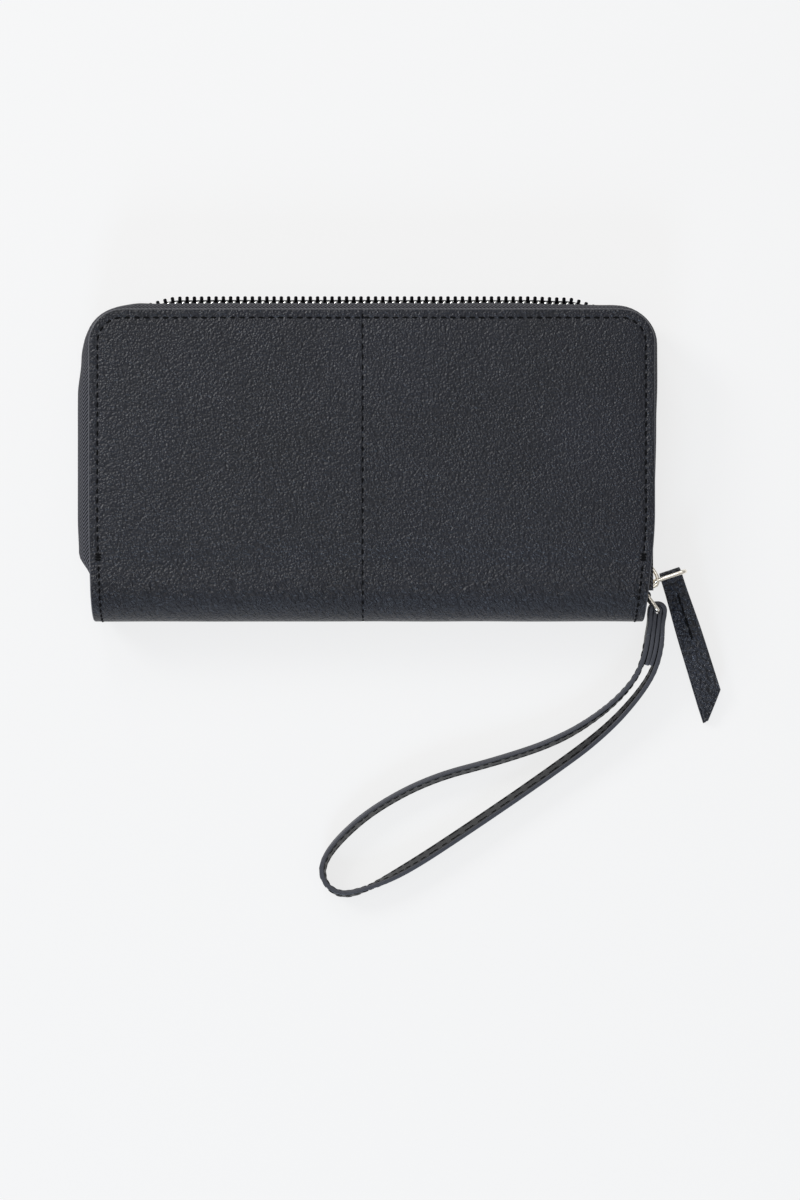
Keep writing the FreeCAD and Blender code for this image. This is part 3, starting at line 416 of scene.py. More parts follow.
def steps(start, end, pitch):
    """Evenly spaced values, ends included, about a pitch apart."""
    count = max(1, round(abs(end - start) / pitch))
    return [start + (end - start) * n / count for n in range(count + 1)]


print("makers are ready")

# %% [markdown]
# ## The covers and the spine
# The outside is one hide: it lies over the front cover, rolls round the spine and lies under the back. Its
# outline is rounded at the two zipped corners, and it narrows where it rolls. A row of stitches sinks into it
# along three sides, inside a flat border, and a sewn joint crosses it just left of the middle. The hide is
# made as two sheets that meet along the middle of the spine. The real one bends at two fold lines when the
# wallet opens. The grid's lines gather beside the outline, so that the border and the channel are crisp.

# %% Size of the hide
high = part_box("front_leather_left")[1]
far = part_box("front_leather_right")[1]
TOP = high.y
HALF = far.x
ROOF = high.z
ROLL = ROOF / 2
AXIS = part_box("spine_leather_left")[0].y + ROLL
CORNER = 11.5 * MM
SEAM = high.x
FLAT = TOP - AXIS
QUARTER = ROLL * math.pi / 2
INSET = 3.1 * MM       # the stitch line, in from the edge
# The pale edge paint on this band is also a painted highlight along the edge.
PAINT_AND_HIGHLIGHT_LAP = 0.4 * MM     # the edge paint laps this far onto the face
ROW_END = 82 * MM      # the edge row of stitches stops this far down from the zipped edge
NARROWS_FROM = 68 * MM                     # down from the zipped edge
NARROWING = {-1: 1.0 * MM, 1: 3.2 * MM}    # how much each end is drawn in round the spine
print("cover", round(2 * HALF / MM, 1), "by", round((TOP - AXIS + ROLL) / MM, 1), "mm")
print("seam at", round(SEAM / MM, 1))


# %% The hide's surface
def on_corner(from_side, from_top):
    """Moves a place near a square corner onto nested rounded corners, distances kept."""
    if from_side >= CORNER or from_top >= CORNER:
        return from_side, from_top
    deep = min(from_side, from_top)
    if from_side < from_top:
        turn = 0.5 * (CORNER - from_top) / (CORNER - deep)
    else:
        turn = 1 - 0.5 * (CORNER - from_side) / (CORNER - deep)
    angle = math.pi * (1 - turn / 2)
    return CORNER + (CORNER - deep) * math.cos(angle), CORNER - (CORNER - deep) * math.sin(angle)


def hump(distance, width):
    """A smooth bump of height 1 at zero distance."""
    return math.exp(-(distance / width) ** 2)


def hide_relief(x, down, edge):
    """Height of the hide over its plain shape. edge is the distance from the outline."""
    sewn = min(1, max(0, (ROW_END + 2 * MM - down) / (4 * MM)))
    height = -0.42 * MM * max(0, 1 - edge / (0.55 * MM)) ** 2
    height -= 0.15 * MM * hump(edge - INSET, 0.5 * MM) * sewn
    height += 0.4 * MM * (1 - math.exp(-max(0, edge - INSET) / (5.0 * MM))) * sewn
    height -= 0.2 * MM * hump(x - SEAM, 0.28 * MM)
    if edge > INSET:
        height += 0.16 * MM * noise.noise(Vector((x, down, 0)) * 38)
    return height


def on_hide(x, down, face, lift=0.0):
    """A point of the outside: down is the way from the zipped edge, and face is 1 in front and -1 behind."""
    side = 1 if x > 0 else -1
    from_side, from_top = HALF - abs(x), down
    edge = min(from_side, from_top)
    from_side, down = on_corner(from_side, from_top)
    x = side * (HALF - from_side)
    high = hide_relief(x, down, edge)
    high = (high if face > 0 else min(high, 0) - 0.02 * MM) + lift
    rolled = max(0, down - FLAT) / ROLL
    narrow = min(1, max(0, (down - NARROWS_FROM) / (FLAT + QUARTER - NARROWS_FROM)))
    x *= 1 - NARROWING[side] / HALF * narrow * narrow * (3 - 2 * narrow)
    if not rolled:
        return Vector((x, TOP - down, ROLL + face * (ROLL + high)))
    reach = ROLL + high
    return Vector((x, AXIS - reach * math.sin(rolled), ROLL + face * reach * math.cos(rolled)))


print("at the middle of the front:", [round(c / MM, 2) for c in on_hide(30 * MM, 50 * MM, 1)])

# %% Hide sheets
EDGE_STOPS = [0, 0.15, 0.35, 0.6, 1.2, 1.9, 2.35, 2.7, 2.9, 3.1, 3.3, 3.5, 3.9, 4.6, 5.8, 7.4, 9.2, 11.5]
SEAM_STOPS = [-1.6, -0.8, -0.45, -0.25, -0.12, 0, 0.12, 0.25, 0.45, 0.8, 1.6]
HIDE_THICK = 1.1 * MM
edge_stops = [stop * MM for stop in EDGE_STOPS]
seam_stops = [SEAM + stop * MM for stop in SEAM_STOPS]
columns = ([-HALF + stop for stop in edge_stops]
           + steps(-HALF + CORNER, seam_stops[0], 2.2 * MM)[1:-1] + seam_stops
           + steps(seam_stops[-1], HALF - CORNER, 2.2 * MM)[1:-1]
           + [HALF - stop for stop in reversed(edge_stops)])
rows = edge_stops + steps(CORNER, FLAT, 2.2 * MM)[1:] + steps(FLAT, FLAT + QUARTER, 0.75 * MM)[1:]


def hide_sheet(name, face):
    """One half of the hide, from the zipped edge to the middle of the spine."""
    def place(i, j):
        return on_hide(columns[i], rows[j], face), (columns[i], rows[j])
    sheet = grid_sheet(name, len(columns) - 1, len(rows) - 1, place,
                       ((0.03, 0, ROLL + face * ROLL), (0, 0, face)), [cover_leather, edge_paint_and_highlight])
    lengths = sheet.data.uv_layers["UVMap"].data
    for cut in sheet.data.polygons:
        x = sum(abs(lengths[n].uv.x) for n in cut.loop_indices) / cut.loop_total
        down = sum(lengths[n].uv.y for n in cut.loop_indices) / cut.loop_total
        # The faces next to the outline get the pale edge paint, a painted highlight along the edge as well as
        # paint.
        if min(HALF - x, down) < PAINT_AND_HIGHLIGHT_LAP:
            cut.material_index = 1
    return thicken(sheet, HIDE_THICK, -1, 0)


front_hide = hide_sheet("front_hide", 1)
back_hide = hide_sheet("back_hide", -1)
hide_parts("front_leather_left", "front_leather_right",
            "spine_leather_left", "spine_leather_right")
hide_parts("back_leather_left", "back_leather_right")


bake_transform(front_hide)
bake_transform(back_hide)
print("hide faces:", len(front_hide.data.polygons), len(back_hide.data.polygons))

# %% [markdown]
# The stitches run at about eight to the inch, black on black, with a bar of three short ones where the
# row reaches the spine. From there shorter ones go on round the spine's ends. The joint in the middle is
# topstitched too, right over the spine.

# %% Stitches of the covers
STITCH = 3.2 * MM


def hide_seam(route, face, lift):
    """Spots for stitches along a route of (x, down) places on the hide."""
    spots = []
    for here, beyond in zip(route, route[1:]):
        a, b = on_hide(*here, face, lift), on_hide(*beyond, face, lift)
        middle = on_hide((here[0] + beyond[0]) / 2, (here[1] + beyond[1]) / 2, face, lift)
        down = min(0.999, max(0, here[1] - FLAT) / ROLL)
        outward = Vector((0, -math.sin(down), face * math.cos(down)))
        spots.append((middle, b - a, outward))
    return spots


def edge_route():
    """The stitch line round three sides, in the hide's own (x, down), one stitch apart."""
    arc = (CORNER - INSET) * math.pi / 2
    diagonal = steps(0, 1, STITCH / arc)
    room = CORNER - INSET
    left = [(-HALF + INSET, down) for down in steps(ROW_END, CORNER, STITCH)]
    up = [(-HALF + INSET + max(0, 2 * t - 1) * room, INSET + (1 - min(1, 2 * t)) * room)
          for t in diagonal[1:]]
    over = [(x, INSET) for x in steps(-HALF + CORNER, HALF - CORNER, STITCH)[1:]]
    down = [(-x, y) for x, y in reversed(up)][1:]
    right = [(HALF - INSET, y) for y in steps(CORNER, ROW_END, STITCH)]
    return left + up + over + down + right


SUNK = -0.34 * MM      # the back's stitches lie in their channel, clear of the table
END_ROW = 86 * MM      # the short stitches round the spine's ends start this far down
LAST_STITCH = FLAT + QUARTER - 0.5 * MM
for side, face, cover in (("front", 1, "front_cover"), ("back", -1, "back_cover")):
    deep = 0 if face > 0 else SUNK
    spots = hide_seam(edge_route(), face, deep - 0.04 * MM)
    for end in (-1, 1):
        for n in range(3):
            spot = on_hide(end * (HALF - INSET), ROW_END + 0.4 * MM + n * 0.9 * MM, face, deep + 0.06 * MM)
            spots.append((spot, Vector((1, 0, 0)), Vector((0, 0, face))))
    piece = sew(f"{side}_edge_stitches", spots, long=2.2 * MM, thick=0.85 * MM)
    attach(piece, cover)
    print(side, "stitches:", len(spots))
    route = [(SEAM, down) for down in steps(0.8 * MM, LAST_STITCH, 3.4 * MM)]
    spots = hide_seam(route, face, deep + 0.02 * MM)
    for end in (-1, 1):
        route = [(end * (HALF - INSET), down) for down in steps(END_ROW, LAST_STITCH, 2.5 * MM)]
        spots += hide_seam(route, face, deep + 0.02 * MM)
    piece = sew(f"{side}_spine_stitches", spots, long=1.8 * MM, thick=0.8 * MM)
    pair = ("spine_middle", "front_cover") if face > 0 else ("back_cover", "spine_middle")
    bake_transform(piece)

# %% [markdown]
# ## The zip
# A zip tape is glued between each cover's leather and its lining. It comes out past the leather's edge,
# bellies outwards and turns down to the teeth. It bulges most along the left side and the top, hugs the
# corners, and goes in under the covers at both ends. Both tapes and the teeth follow one path round the
# outline, so one function gives the place and the outward direction at any length along it.

# %% The path round three sides
ZIP_START = -42 * MM    # where both ends of the path lie across the wallet
LEFT_RUN = -ZIP_START + TOP - CORNER
ARC = CORNER * math.pi / 2
TOP_RUN = 2 * (HALF - CORNER)
ZIP_LENGTH = 2 * (LEFT_RUN + ARC) + TOP_RUN
# The bulge in millimetres at some lengths along the zip, in millimetres too.
BULGE = [(0, -3.2), (3.6, -0.6), (12.5, 3.8), (24, 4.2), (66, 4.2), (78, 3.0), (88, 1.5), (97, 1.3),
         (108, 2.6), (120, 3.3), (134, 3.4), (236, 3.4), (250, 3.0), (264, 1.8), (276, 1.1), (288, 1.2),
         (300, 1.3), (312, 1.0), (371, -0.9)]


def on_path(length):
    """The outline's point at a length along the zip, with the outward direction there."""
    length = min(max(length, 0), ZIP_LENGTH)
    if length < LEFT_RUN:
        return Vector((-HALF, ZIP_START + length, 0)), Vector((-1, 0, 0))
    if length < LEFT_RUN + ARC:
        turn = math.pi - (length - LEFT_RUN) / CORNER
        out = Vector((math.cos(turn), math.sin(turn), 0))
        return Vector((-HALF + CORNER, TOP - CORNER, 0)) + out * CORNER, out
    if length <= LEFT_RUN + ARC + TOP_RUN:
        return Vector((-HALF + CORNER + length - LEFT_RUN - ARC, TOP, 0)), Vector((0, 1, 0))
    spot, out = on_path(ZIP_LENGTH - length)
    return Vector((-spot.x, spot.y, 0)), Vector((-out.x, out.y, 0))


def bulge(length):
    """How far the zip stands out past the leather at a length along it."""
    at = length / MM
    for (a, low), (b, high) in zip(BULGE, BULGE[1:]):
        if at <= b:
            t = min(1, max(0, (at - a) / (b - a)))
            return (low + (high - low) * t * t * (3 - 2 * t)) * MM
    return BULGE[-1][1] * MM


print("zip length", round(ZIP_LENGTH / MM, 1), "mm")

# %% Zip tapes
GRIPPED = 1.75 * MM    # the tape is gripped this far under the outside of the cover
CHAIN_GAP = 1.5 * MM
TAPE_THICK = 0.6 * MM
stations = steps(0, ZIP_LENGTH, 1.8 * MM)


def top_share(length):
    """0 at the two sides and 1 along the top, with a gradual change past each corner."""
    on_top = min(length - LEFT_RUN - ARC, LEFT_RUN + ARC + TOP_RUN - length) / MM
    share = min(1, max(0, (on_top - 2) / 16))
    return share * share * (3 - 2 * share)


def chain_place(length, face):
    """How far a row of teeth stands out. The chain leans out along the top and tucks in at the sides."""
    share = top_share(length)
    return bulge(length) + MM * (-1.9 * (1 - share) + (0.55 if face < 0 else -1.2) * share)


def tape(name, face):
    """One tape: gripped under the leather, bellied out, and down to the chain."""
    grip_level = ROLL + face * (ROLL - GRIPPED)
    bends = ([(-4.6 * MM, 0.0), (-2.4 * MM, 0.0), (-0.8 * MM, 0.0)]
             + [("belly", n / 9) for n in range(10)] + [("wall", 0.7), ("wall", 1.5), ("wall", 2.3)])
    drop = ROLL - GRIPPED - CHAIN_GAP - 1.2 * MM

    def place(i, j):
        spot, out = on_path(stations[j])
        reach = bulge(stations[j])
        if face > 0:
            reach -= 0.9 * MM * top_share(stations[j])
        chain = chain_place(stations[j], face)
        kind, t = bends[i]
        if kind == "belly":
            turn = t * math.pi / 2
            away, fall = (reach + 0.5 * MM) * math.sin(turn) - 0.5 * MM, drop * (1 - math.cos(turn))
        elif kind == "wall":
            away, fall = reach + (chain - reach) * min(1, t / 1.5), drop + t * 0.6 * MM
        else:
            away, fall = kind, 0.0
        ripple = 0.12 * MM * noise.noise(Vector((stations[j] * 60, t * 2, face)))
        point = spot + out * (away + ripple) + Vector((0, 0, grip_level - face * fall))
        return point, (stations[j], away + fall)

    cloth = grid_sheet(name, len(bends) - 1, len(stations) - 1, place,
                       ((-0.03, TOP, grip_level), (0, 0, face)), [zip_cloth])
    return thicken(cloth, TAPE_THICK, -1, 0, rim=0, even=False)


for side, face in (("front", 1), ("back", -1)):
    piece = tape(f"{side}_tape", face)
    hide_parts(f"{side}_zip_tape")
    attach(piece, f"{side}_cover")
    print(piece.name, len(piece.data.polygons), "faces")

# %% [markdown]
# The teeth are stamped metal, clamped on the tape's edge every 2.45 mm, the two rows half a step apart so
# that they lock. From outside each is a small rounded block, bright where the slider polishes it. Its faces
# turned towards the other row, where they lock, are drawn black as painted shade, so the back row's upper
# faces are black too. A tooth is repeated hundreds of times, so it is one beveled cube.

# %% Zip teeth
PITCH = 2.45 * MM
TOOTH = (1.18 * MM, 2.1 * MM, 3.0 * MM)    # along the chain, outwards and upwards
FIRST_TOOTH = 4.5 * MM
LAST_TOOTH = ZIP_LENGTH - 12.0 * MM


def tooth_row(name, face, start):
    """One row of teeth from start to the slider."""
    bm = bmesh.new()
    at = start
    while at < LAST_TOOTH:
        behind, middle, ahead = (
            on_path(n)[0] + on_path(n)[1] * chain_place(n, face) for n in (at - MM, at, at + MM))
        way = (ahead - behind).normalized()
        out = Vector((-way.y, way.x, 0))
        middle.z = ROLL + face * 0.12 * MM
        turn = Matrix((way * TOOTH[0], out * TOOTH[1], Vector((0, 0, TOOTH[2])))).transposed().to_4x4()
        made = bmesh.ops.create_cube(bm, size=1.0, matrix=Matrix.Translation(middle) @ turn)
        edges = {edge for vert in made["verts"] for edge in vert.link_edges}
        bmesh.ops.bevel(bm, geom=list(edges), offset=0.28 * MM, offset_type="OFFSET", segments=1,
                        profile=0.5, affect="EDGES", material=-1)
        at += PITCH
    bm.normal_update()
    # Painted shade: the faces turned towards the other row get the dark finish.
    for cut in bm.faces:
        if cut.normal.z * face < -0.4:
            cut.material_index = 1
    return keep(name, bm, [tooth_nickel, tooth_painted_shade])


for side, face, start in (("front", 1, FIRST_TOOTH + PITCH / 2), ("back", -1, FIRST_TOOTH)):
    piece = tooth_row(f"{side}_teeth", face, start)
    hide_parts(f"{side}_zip_teeth")
    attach(piece, f"{side}_cover")
    print(piece.name, len(piece.data.polygons), "faces")

bm = bmesh.new()
STOP_AT = 2.4 * MM
spot, out = on_path(STOP_AT)
middle = spot + out * chain_place(STOP_AT, 1) + Vector((0, 0, ROLL))
turn = Matrix.Diagonal((2.0 * MM, 1.5 * MM, 3.4 * MM, 1))
made = bmesh.ops.create_cube(bm, size=1.0, matrix=Matrix.Translation(middle) @ turn)
bmesh.ops.bevel(bm, geom=bm.edges[:], offset=0.35 * MM, offset_type="OFFSET", segments=2,
                profile=0.5, affect="EDGES", material=-1)
end_stop = keep("zip_end_clip", bm, [tooth_nickel])
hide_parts("zip_end_stop")
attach(end_stop, "back_cover")
print("the chain ends in", end_stop.name)

# %% [markdown]
# ## Castings and inner layers
# The small castings and the layers inside have the right shape in the frame, but their edges are knife
# sharp. A copy of the node is merged, its sharp edges are rounded by a bevel, and the copy stands for it.

# %% Rounded copies
def rounded_copy(node, material, edge, body, angle=30):
    """A copy of a frame node with its sharp edges rounded."""
    bm = bmesh.new()
    bm.from_mesh(frame["nodes"][node].data)
    bmesh.ops.remove_doubles(bm, verts=bm.verts, dist=0.001 * MM)
    bmesh.ops.dissolve_limit(bm, angle_limit=math.radians(1), verts=bm.verts, edges=bm.edges)
    piece = keep(f"{node}_finished", bm, [material])
    bevel = piece.modifiers.new("edge", "BEVEL")
    bevel.width = edge
    bevel.segments = 3
    bevel.limit_method = "ANGLE"
    bevel.angle_limit = math.radians(angle)
    bevel.harden_normals = True
    settle(piece)
    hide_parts(node)
    if body:
        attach(piece, body)
    return piece


body_of = {node: body for body, nodes in frame["record"]["behaviour"]["bodies"].items() for node in nodes}
CASTINGS = {"slider_body": 0.25, "coin_slider": 0.2, "coin_pull": 0.15}
for node, edge in CASTINGS.items():
    rounded_copy(node, warm_nickel, edge * MM, body_of[node])
for node in ("pull_ring", "strap_ring"):
    rounded_copy(node, warm_nickel, 0.05 * MM, body_of[node], angle=60)
LAYERS = {
    "back_board": bonded_board, "front_board": bonded_board,
    "back_lining": lining_cloth, "front_lining": lining_cloth, "spine_lining": lining_cloth,
    "spine_web": lining_cloth, "coin_pocket_binding": lining_cloth,
    "back_card_panel": card_leather, "front_card_panel": card_leather,
    "coin_pocket_back_wall": card_leather, "coin_pocket_front_wall": card_leather,
    "coin_zip_tape_back": lining_cloth, "coin_zip_tape_front": lining_cloth, "ring_tab": strap_leather,
}
for side in ("back", "front"):
    for n in (1, 2, 3):
        LAYERS[f"{side}_card_slot_{n}"] = card_leather
for node, material in LAYERS.items():
    rounded_copy(node, material, 0.12 * MM, body_of[node])
print("rounded copies:", len(CASTINGS) + 2 + len(LAYERS))

# %% [markdown]
# The gussets are folded leaves of lining cloth. One edge is sewn to a cover's panel and the other to the
# coin pocket, so they open like a fan.

# %% Gussets
for end in ("left", "right"):
    for side, pair in (("back", ("back_cover", "spine_middle")), ("front", ("spine_middle", "front_cover"))):
        node = f"gusset_{end}_{side}"
        piece = rounded_copy(node, lining_cloth, 0.1 * MM, None)
        low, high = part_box(node)
        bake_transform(piece)
frame["nodes"]["coin_zip_teeth"].data.materials.clear()
frame["nodes"]["coin_zip_teeth"].data.materials.append(tooth_nickel)

# %% [markdown]
# Each card slot's open edge is sealed with paint and topstitched, which shows when the wallet is open.

# %% Card slot stitches
for side, face in (("back", 1), ("front", -1)):
    spots = []
    for n in (1, 2, 3):
        low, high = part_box(f"{side}_card_slot_{n}")
        level = high.z if face > 0 else low.z
        xs = steps(low.x + 3 * MM, high.x - 3 * MM, STITCH)
        spots += [(Vector((x, high.y - 1.6 * MM, level)), Vector((1, 0, 0)), Vector((0, 0, face)))
                  for x in xs]
    piece = sew(f"{side}_slot_stitches", spots, thick=0.45 * MM)
    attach(piece, f"{side}_cover")
    print(piece.name, len(spots))

# %% [markdown]
# ## The puller
# A strip of the cover's hide is folded through the ring and its two leaves are glued back to back, then sewn
# with one row of long stitches down the middle and cut at a slant. The lower leaf sits slightly off the
# upper one, so its painted edge shows on one side.

# %% Where the puller hangs
joint = {entry["name"]: entry for entry in frame["joints"]}
hang = Vector(joint["pull_tab_lifts"]["pos_m"])
across = -Vector(joint["pull_tab_lifts"]["axis"]).normalized()
SLOPE = math.radians(8.5)
down_way = Vector((across.y, -across.x, 0)) * math.cos(SLOPE) + Vector((0, 0, -math.sin(SLOPE)))
puller_up = across.cross(-down_way)
print("puller hangs from", [round(c / MM, 2) for c in hang])

# %% Puller
LONG = 51.6 * MM
WIDE = 7.2 * MM
LEAF = 1.2 * MM        # one leaf's thickness
SLANT = 9 * MM         # the cut at the end is this much shorter at one side
FOLD = 1.42 * MM       # radius of the fold round the ring's wire
leaf = [(LONG, LEAF * 0.52)]
leaf += [(y, LEAF * 0.52) for y in steps(LONG - 2 * MM, 7 * MM, 2.4 * MM)]
leaf += [(5.4 * MM, 0.66 * MM), (3.8 * MM, 0.86 * MM), (2.2 * MM, 1.14 * MM), (1.0 * MM, 1.34 * MM)]
bend = [(-FOLD * math.sin(math.radians(a)), FOLD * math.cos(math.radians(a))) for a in range(0, 181, 15)]
side_path = leaf + bend + [(y, -z) for y, z in reversed(leaf)]


def on_puller(x, y, z):
    """A point of the puller: x across it, y down it from the ring's wire, z above its middle."""
    return hang + across * x + down_way * y + puller_up * z


def puller_bow(y):
    """How far the puller bows up, that far down from the wire."""
    return 0.5 * MM * math.sin(max(0, y) / LONG * math.pi)


def puller_place(i, j):
    x = (i / 8 - 0.5) * WIDE
    y, z = side_path[j]
    lower = j > len(side_path) / 2
    stop = LONG - SLANT * min(1, max(0, (x + 2.8 * MM) / (6.4 * MM)))
    if lower:
        stop += 0.5 * MM
    y = y * (stop / LONG) if y > 9 * MM else y
    shift = -0.8 * MM * min(1, max(0, y / (45 * MM))) if lower else 0
    spread = min(1, max(0, y / (24 * MM)))
    x *= 1 + 0.14 * spread * spread * (3 - 2 * spread)
    curl = 0.25 * MM * (2 * x / WIDE) ** 2
    return on_puller(x + shift, y, z - curl + puller_bow(y)), (x, y)


puller = grid_sheet("puller", 8, len(side_path) - 1, puller_place,
                    (on_puller(0, 20 * MM, LEAF), puller_up), [puller_leather, edge_paint_and_highlight])
thicken(puller, LEAF * 0.94, 0, 0.22 * MM)
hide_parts("pull_tab")
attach(puller, "pull_tab")
spots = []
for n in range(4):
    y = (8.2 + 4.2 * n) * MM
    for level in (1, -1):
        spot = on_puller(0.1 * MM, y, level * (LEAF + 0.1 * MM) + puller_bow(y))
        spots.append((spot, down_way, puller_up * level))
puller_stitches = sew("puller_stitches", spots, long=4.1 * MM, thick=0.75 * MM, skew=2.0)
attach(puller_stitches, "pull_tab")
print("puller", round(LONG / MM), "mm long with", len(spots), "stitches")

# %% [markdown]
# ## The wrist strap
# The strap is one flat band of smooth strap leather, 7 mm wide and about 300 mm round. It stands on its edge
# and leaves its ring in two runs, comes down to the table and closes in a narrow loop. Its line is one
# smooth NURBS spline. The band is a grid along points read from that spline, and it leans outwards
# a little, except at the far turn, where it leans the other way and shows its outer face.

# %% The strap's line
STRAP_WIDE = 7 * MM
STRAP_THICK = 1.6 * MM
bar = Vector(joint["strap_swings"]["pos_m"])
ROUTE = [
    (98.22, -57.52, 8.5), (97.40, -65.40, 8.5), (91.80, -76.20, 6.6), (78.80, -90.60, 4.4),
    (57.50, -106.20, 3.6), (35.00, -121.60, 3.6), (12.60, -136.40, 3.6), (-1.50, -143.60, 3.6),
    (-10.20, -146.00, 3.6), (-15.90, -142.40, 3.6), (-17.40, -135.90, 3.6), (-12.10, -127.40, 3.6),
    (0.50, -116.30, 3.6), (20.00, -106.00, 3.6), (43.00, -100.00, 3.6), (63.00, -93.30, 3.6),
    (77.60, -84.40, 4.4), (88.20, -74.20, 6.6), (92.65, -64.60, 8.5), (93.45, -57.02, 8.5),
]
line = bpy.data.curves.new("strap_line", "CURVE")
line.dimensions = "3D"
line.resolution_u = 14
spline = line.splines.new("NURBS")
spline.points.add(len(ROUTE) - 1)
for point, spot in zip(spline.points, ROUTE):
    point.co = (*(c * MM for c in spot), 1)
spline.order_u = 3
spline.use_endpoint_u = True
line_object = bpy.data.objects.new("strap_line", line)
bpy.context.scene.collection.objects.link(line_object)
line_mesh = bpy.data.meshes.new_from_object(line_object)
strap_line = [vert.co.copy() for vert in line_mesh.vertices]
bpy.data.objects.remove(line_object)
bpy.data.meshes.remove(line_mesh)
travel = [0.0]
for a, b in zip(strap_line, strap_line[1:]):
    travel.append(travel[-1] + (b - a).length)
STRAP_LENGTH = travel[-1]
print("strap", round(STRAP_LENGTH / MM, 1), "mm,", len(strap_line), "points")


# %% The band
LEAN = 17              # degrees outwards
FAR_TURN = 0.475       # the far turn is at this share of the strap's length
FAR_LEAN = 29          # degrees the other way there
SETTLING = 0.16        # the share of the length in which each end leans over
PROBE = 60             # a point along the first run, where the band's outer side is known


def strap_frame(j):
    """Middle, outward direction and upward direction of the strap at a point of its line."""
    ahead, behind = strap_line[min(j + 1, len(strap_line) - 1)], strap_line[max(j - 1, 0)]
    way = (ahead - behind).normalized()
    out = Vector((-way.y, way.x, 0)).normalized()
    share = travel[j] / STRAP_LENGTH
    settled = min(1, share / SETTLING, (1 - share) / SETTLING)
    lean = LEAN * settled - FAR_LEAN * hump(share - FAR_TURN, 0.045)
    turn = math.radians(lean)
    up = Vector((0, 0, 1))
    outward = out * math.cos(turn) - up * math.sin(turn)
    return strap_line[j], outward, up * math.cos(turn) + out * math.sin(turn)


def strap_place(i, j):
    middle, _, up = strap_frame(j)
    high = (i / 6 - 0.5) * (STRAP_WIDE - 0.1 * MM)
    return middle + up * high, (travel[j], high)


strap = grid_sheet("strap_band", 6, len(strap_line) - 1, strap_place,
                   (strap_line[PROBE], strap_frame(PROBE)[1]), [strap_leather, strap_edge_paint])
thicken(strap, STRAP_THICK, 0, 0.3 * MM)
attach(strap, "wrist_strap")
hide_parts("wrist_strap")
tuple(strap_line[0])
print("band faces:", len(strap.data.polygons))

# %% Strap stitches
spots = []
at = 3 * MM
while at < STRAP_LENGTH - 3 * MM:
    j = next(n for n, length in enumerate(travel) if length >= at)
    middle, out, up = strap_frame(j)
    way = (strap_line[min(j + 1, len(strap_line) - 1)] - strap_line[j - 1]).normalized()
    for face in (-1, 1):
        for row in (-1, 1):
            spot = middle + out * face * (STRAP_THICK / 2 + 0.02 * MM) + up * row * 2.2 * MM
            spots.append((spot, way, out * face))
    at += 2.9 * MM
strap_stitches = sew("strap_stitches", spots, long=2.2 * MM, thick=0.5 * MM)
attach(strap_stitches, "wrist_strap")
print("strap stitches:", len(spots))

# %% [markdown]
# At the ring both ends of the strap are doubled back: each run goes round the ring's bar, and a second
# layer inside it ends as a short tail between the runs, so four layers lie side by side for a few
# centimetres. The inner layer's tails follow the strap's own line, one thickness further in.

# %% The fold at the ring
fold_turn = Matrix.Rotation(math.radians(-6), 3, "Z")


def on_fold(x, y):
    """A point of the fold at strap level, x across the runs and y towards the ring from its bar."""
    return bar + fold_turn @ Vector((x, y, 0))


def loop_plan(radius, leg, foot):
    """A hairpin round the bar: up one leg, round, and down the other."""
    rise = [(leg, foot), (leg - 0.1 * MM, foot * 0.8), (leg - 0.25 * MM, foot * 0.6),
            (leg - 0.2 * MM + (radius - leg) * 0.4, foot * 0.38), (leg + (radius - leg) * 0.85, foot * 0.17)]
    turn = [(radius * math.cos(math.radians(a)), radius * math.sin(math.radians(a)))
            for a in range(0, 181, 15)]
    return rise + turn + [(-x, y) for x, y in reversed(rise)]


FOOT = -8.8 * MM
outer = [on_fold(x, y) for x, y in loop_plan(2.35 * MM, 2.4 * MM, FOOT)]
inner = [on_fold(x, y) for x, y in loop_plan(1.12 * MM, 0.95 * MM, -3.4 * MM)]


def tail(order, long):
    """Points one thickness inside the strap's line, from the fold out to the tail's end."""
    found = []
    for j in order:
        done = travel[j] if order[0] == 0 else STRAP_LENGTH - travel[j]
        if done > long:
            break
        if done > 1.5 * MM:
            middle, out, _ = strap_frame(j)
            found.append(middle - out * STRAP_THICK)
    return found


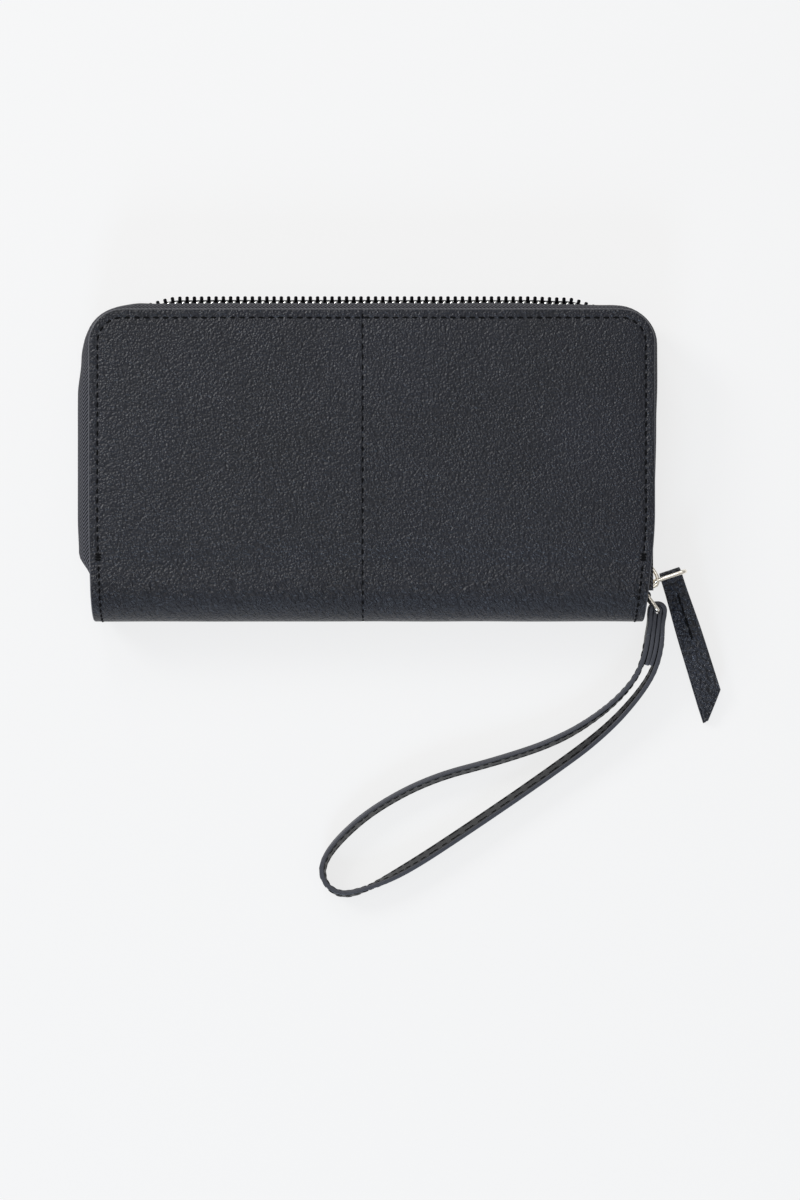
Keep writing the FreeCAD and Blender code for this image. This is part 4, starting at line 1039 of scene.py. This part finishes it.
count = len(strap_line)
legs = [(0.78 * MM, y * MM) for y in (-1.0, -2.9, -4.9, -6.9, -8.8)]
near_tail = [on_fold(x, y) for x, y in legs] + tail(list(range(count)), 11.5 * MM)
far_tail = [on_fold(-x, y) for x, y in legs] + tail(list(range(count - 1, -1, -1)), 10.5 * MM)


def upright_band(name, plan, thick, wide, materials):
    """A band on edge along the points of a plan."""
    def place(i, j):
        high = (i / 4 - 0.5) * wide
        return plan[j] + Vector((0, 0, high)), (j * MM, high)
    side = plan[1] - plan[0]
    sheet = grid_sheet(name, 4, len(plan) - 1, place, (plan[0], Vector((-side.y, side.x, 0))), materials)
    return thicken(sheet, thick, 0, 0.3 * MM, rim=len(materials) - 1)


strap_stuff = [strap_leather, strap_edge_paint]
fold_outer = upright_band("fold_outer", outer, 1.5 * MM, 6.9 * MM, strap_stuff)
fold_pieces = [fold_outer, upright_band("fold_inner", inner, 0.85 * MM, 6.6 * MM, strap_stuff),
               upright_band("near_tail", near_tail, 1.45 * MM, 6.7 * MM, strap_stuff),
               upright_band("far_tail", far_tail, 1.45 * MM, 6.7 * MM, strap_stuff)]
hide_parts("strap_fold")
for piece in fold_pieces:
    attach(piece, "wrist_strap")
print("fold pieces:", [piece.name for piece in fold_pieces])

# %% [markdown]
# The crown is the bridge on the slider's face that holds the ring. It is cast as one arch, steep at the end
# where the ring rests and sloping down to the slider's nose.

# %% Crown of the slider
crown_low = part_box("slider_crown")[0]
crown_root = crown_low.x - 0.2 * MM
arch = [(0, 6.4), (0.75, 5.5), (1.5, 4.4), (2.1, 3.2), (2.35, 2.0), (2.35, 0.9), (1.95, 0.1),
        (1.1, -0.35), (0, -0.5)]
arch = [Vector((crown_root + x * MM, crown_low.y + (y + 0.4) * MM, ROLL)) for x, y in arch]
crown = upright_band("slider_arch", arch, 1.15 * MM, 1.7 * MM, [warm_nickel])
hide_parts("slider_crown")
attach(crown, "zip_slider")
print("crown:", len(crown.data.polygons), "faces")

# %% Frame nodes still shown
for node in frame["nodes"].values():
    if not node.hide_render:
        print("shown as packed:", node.name)
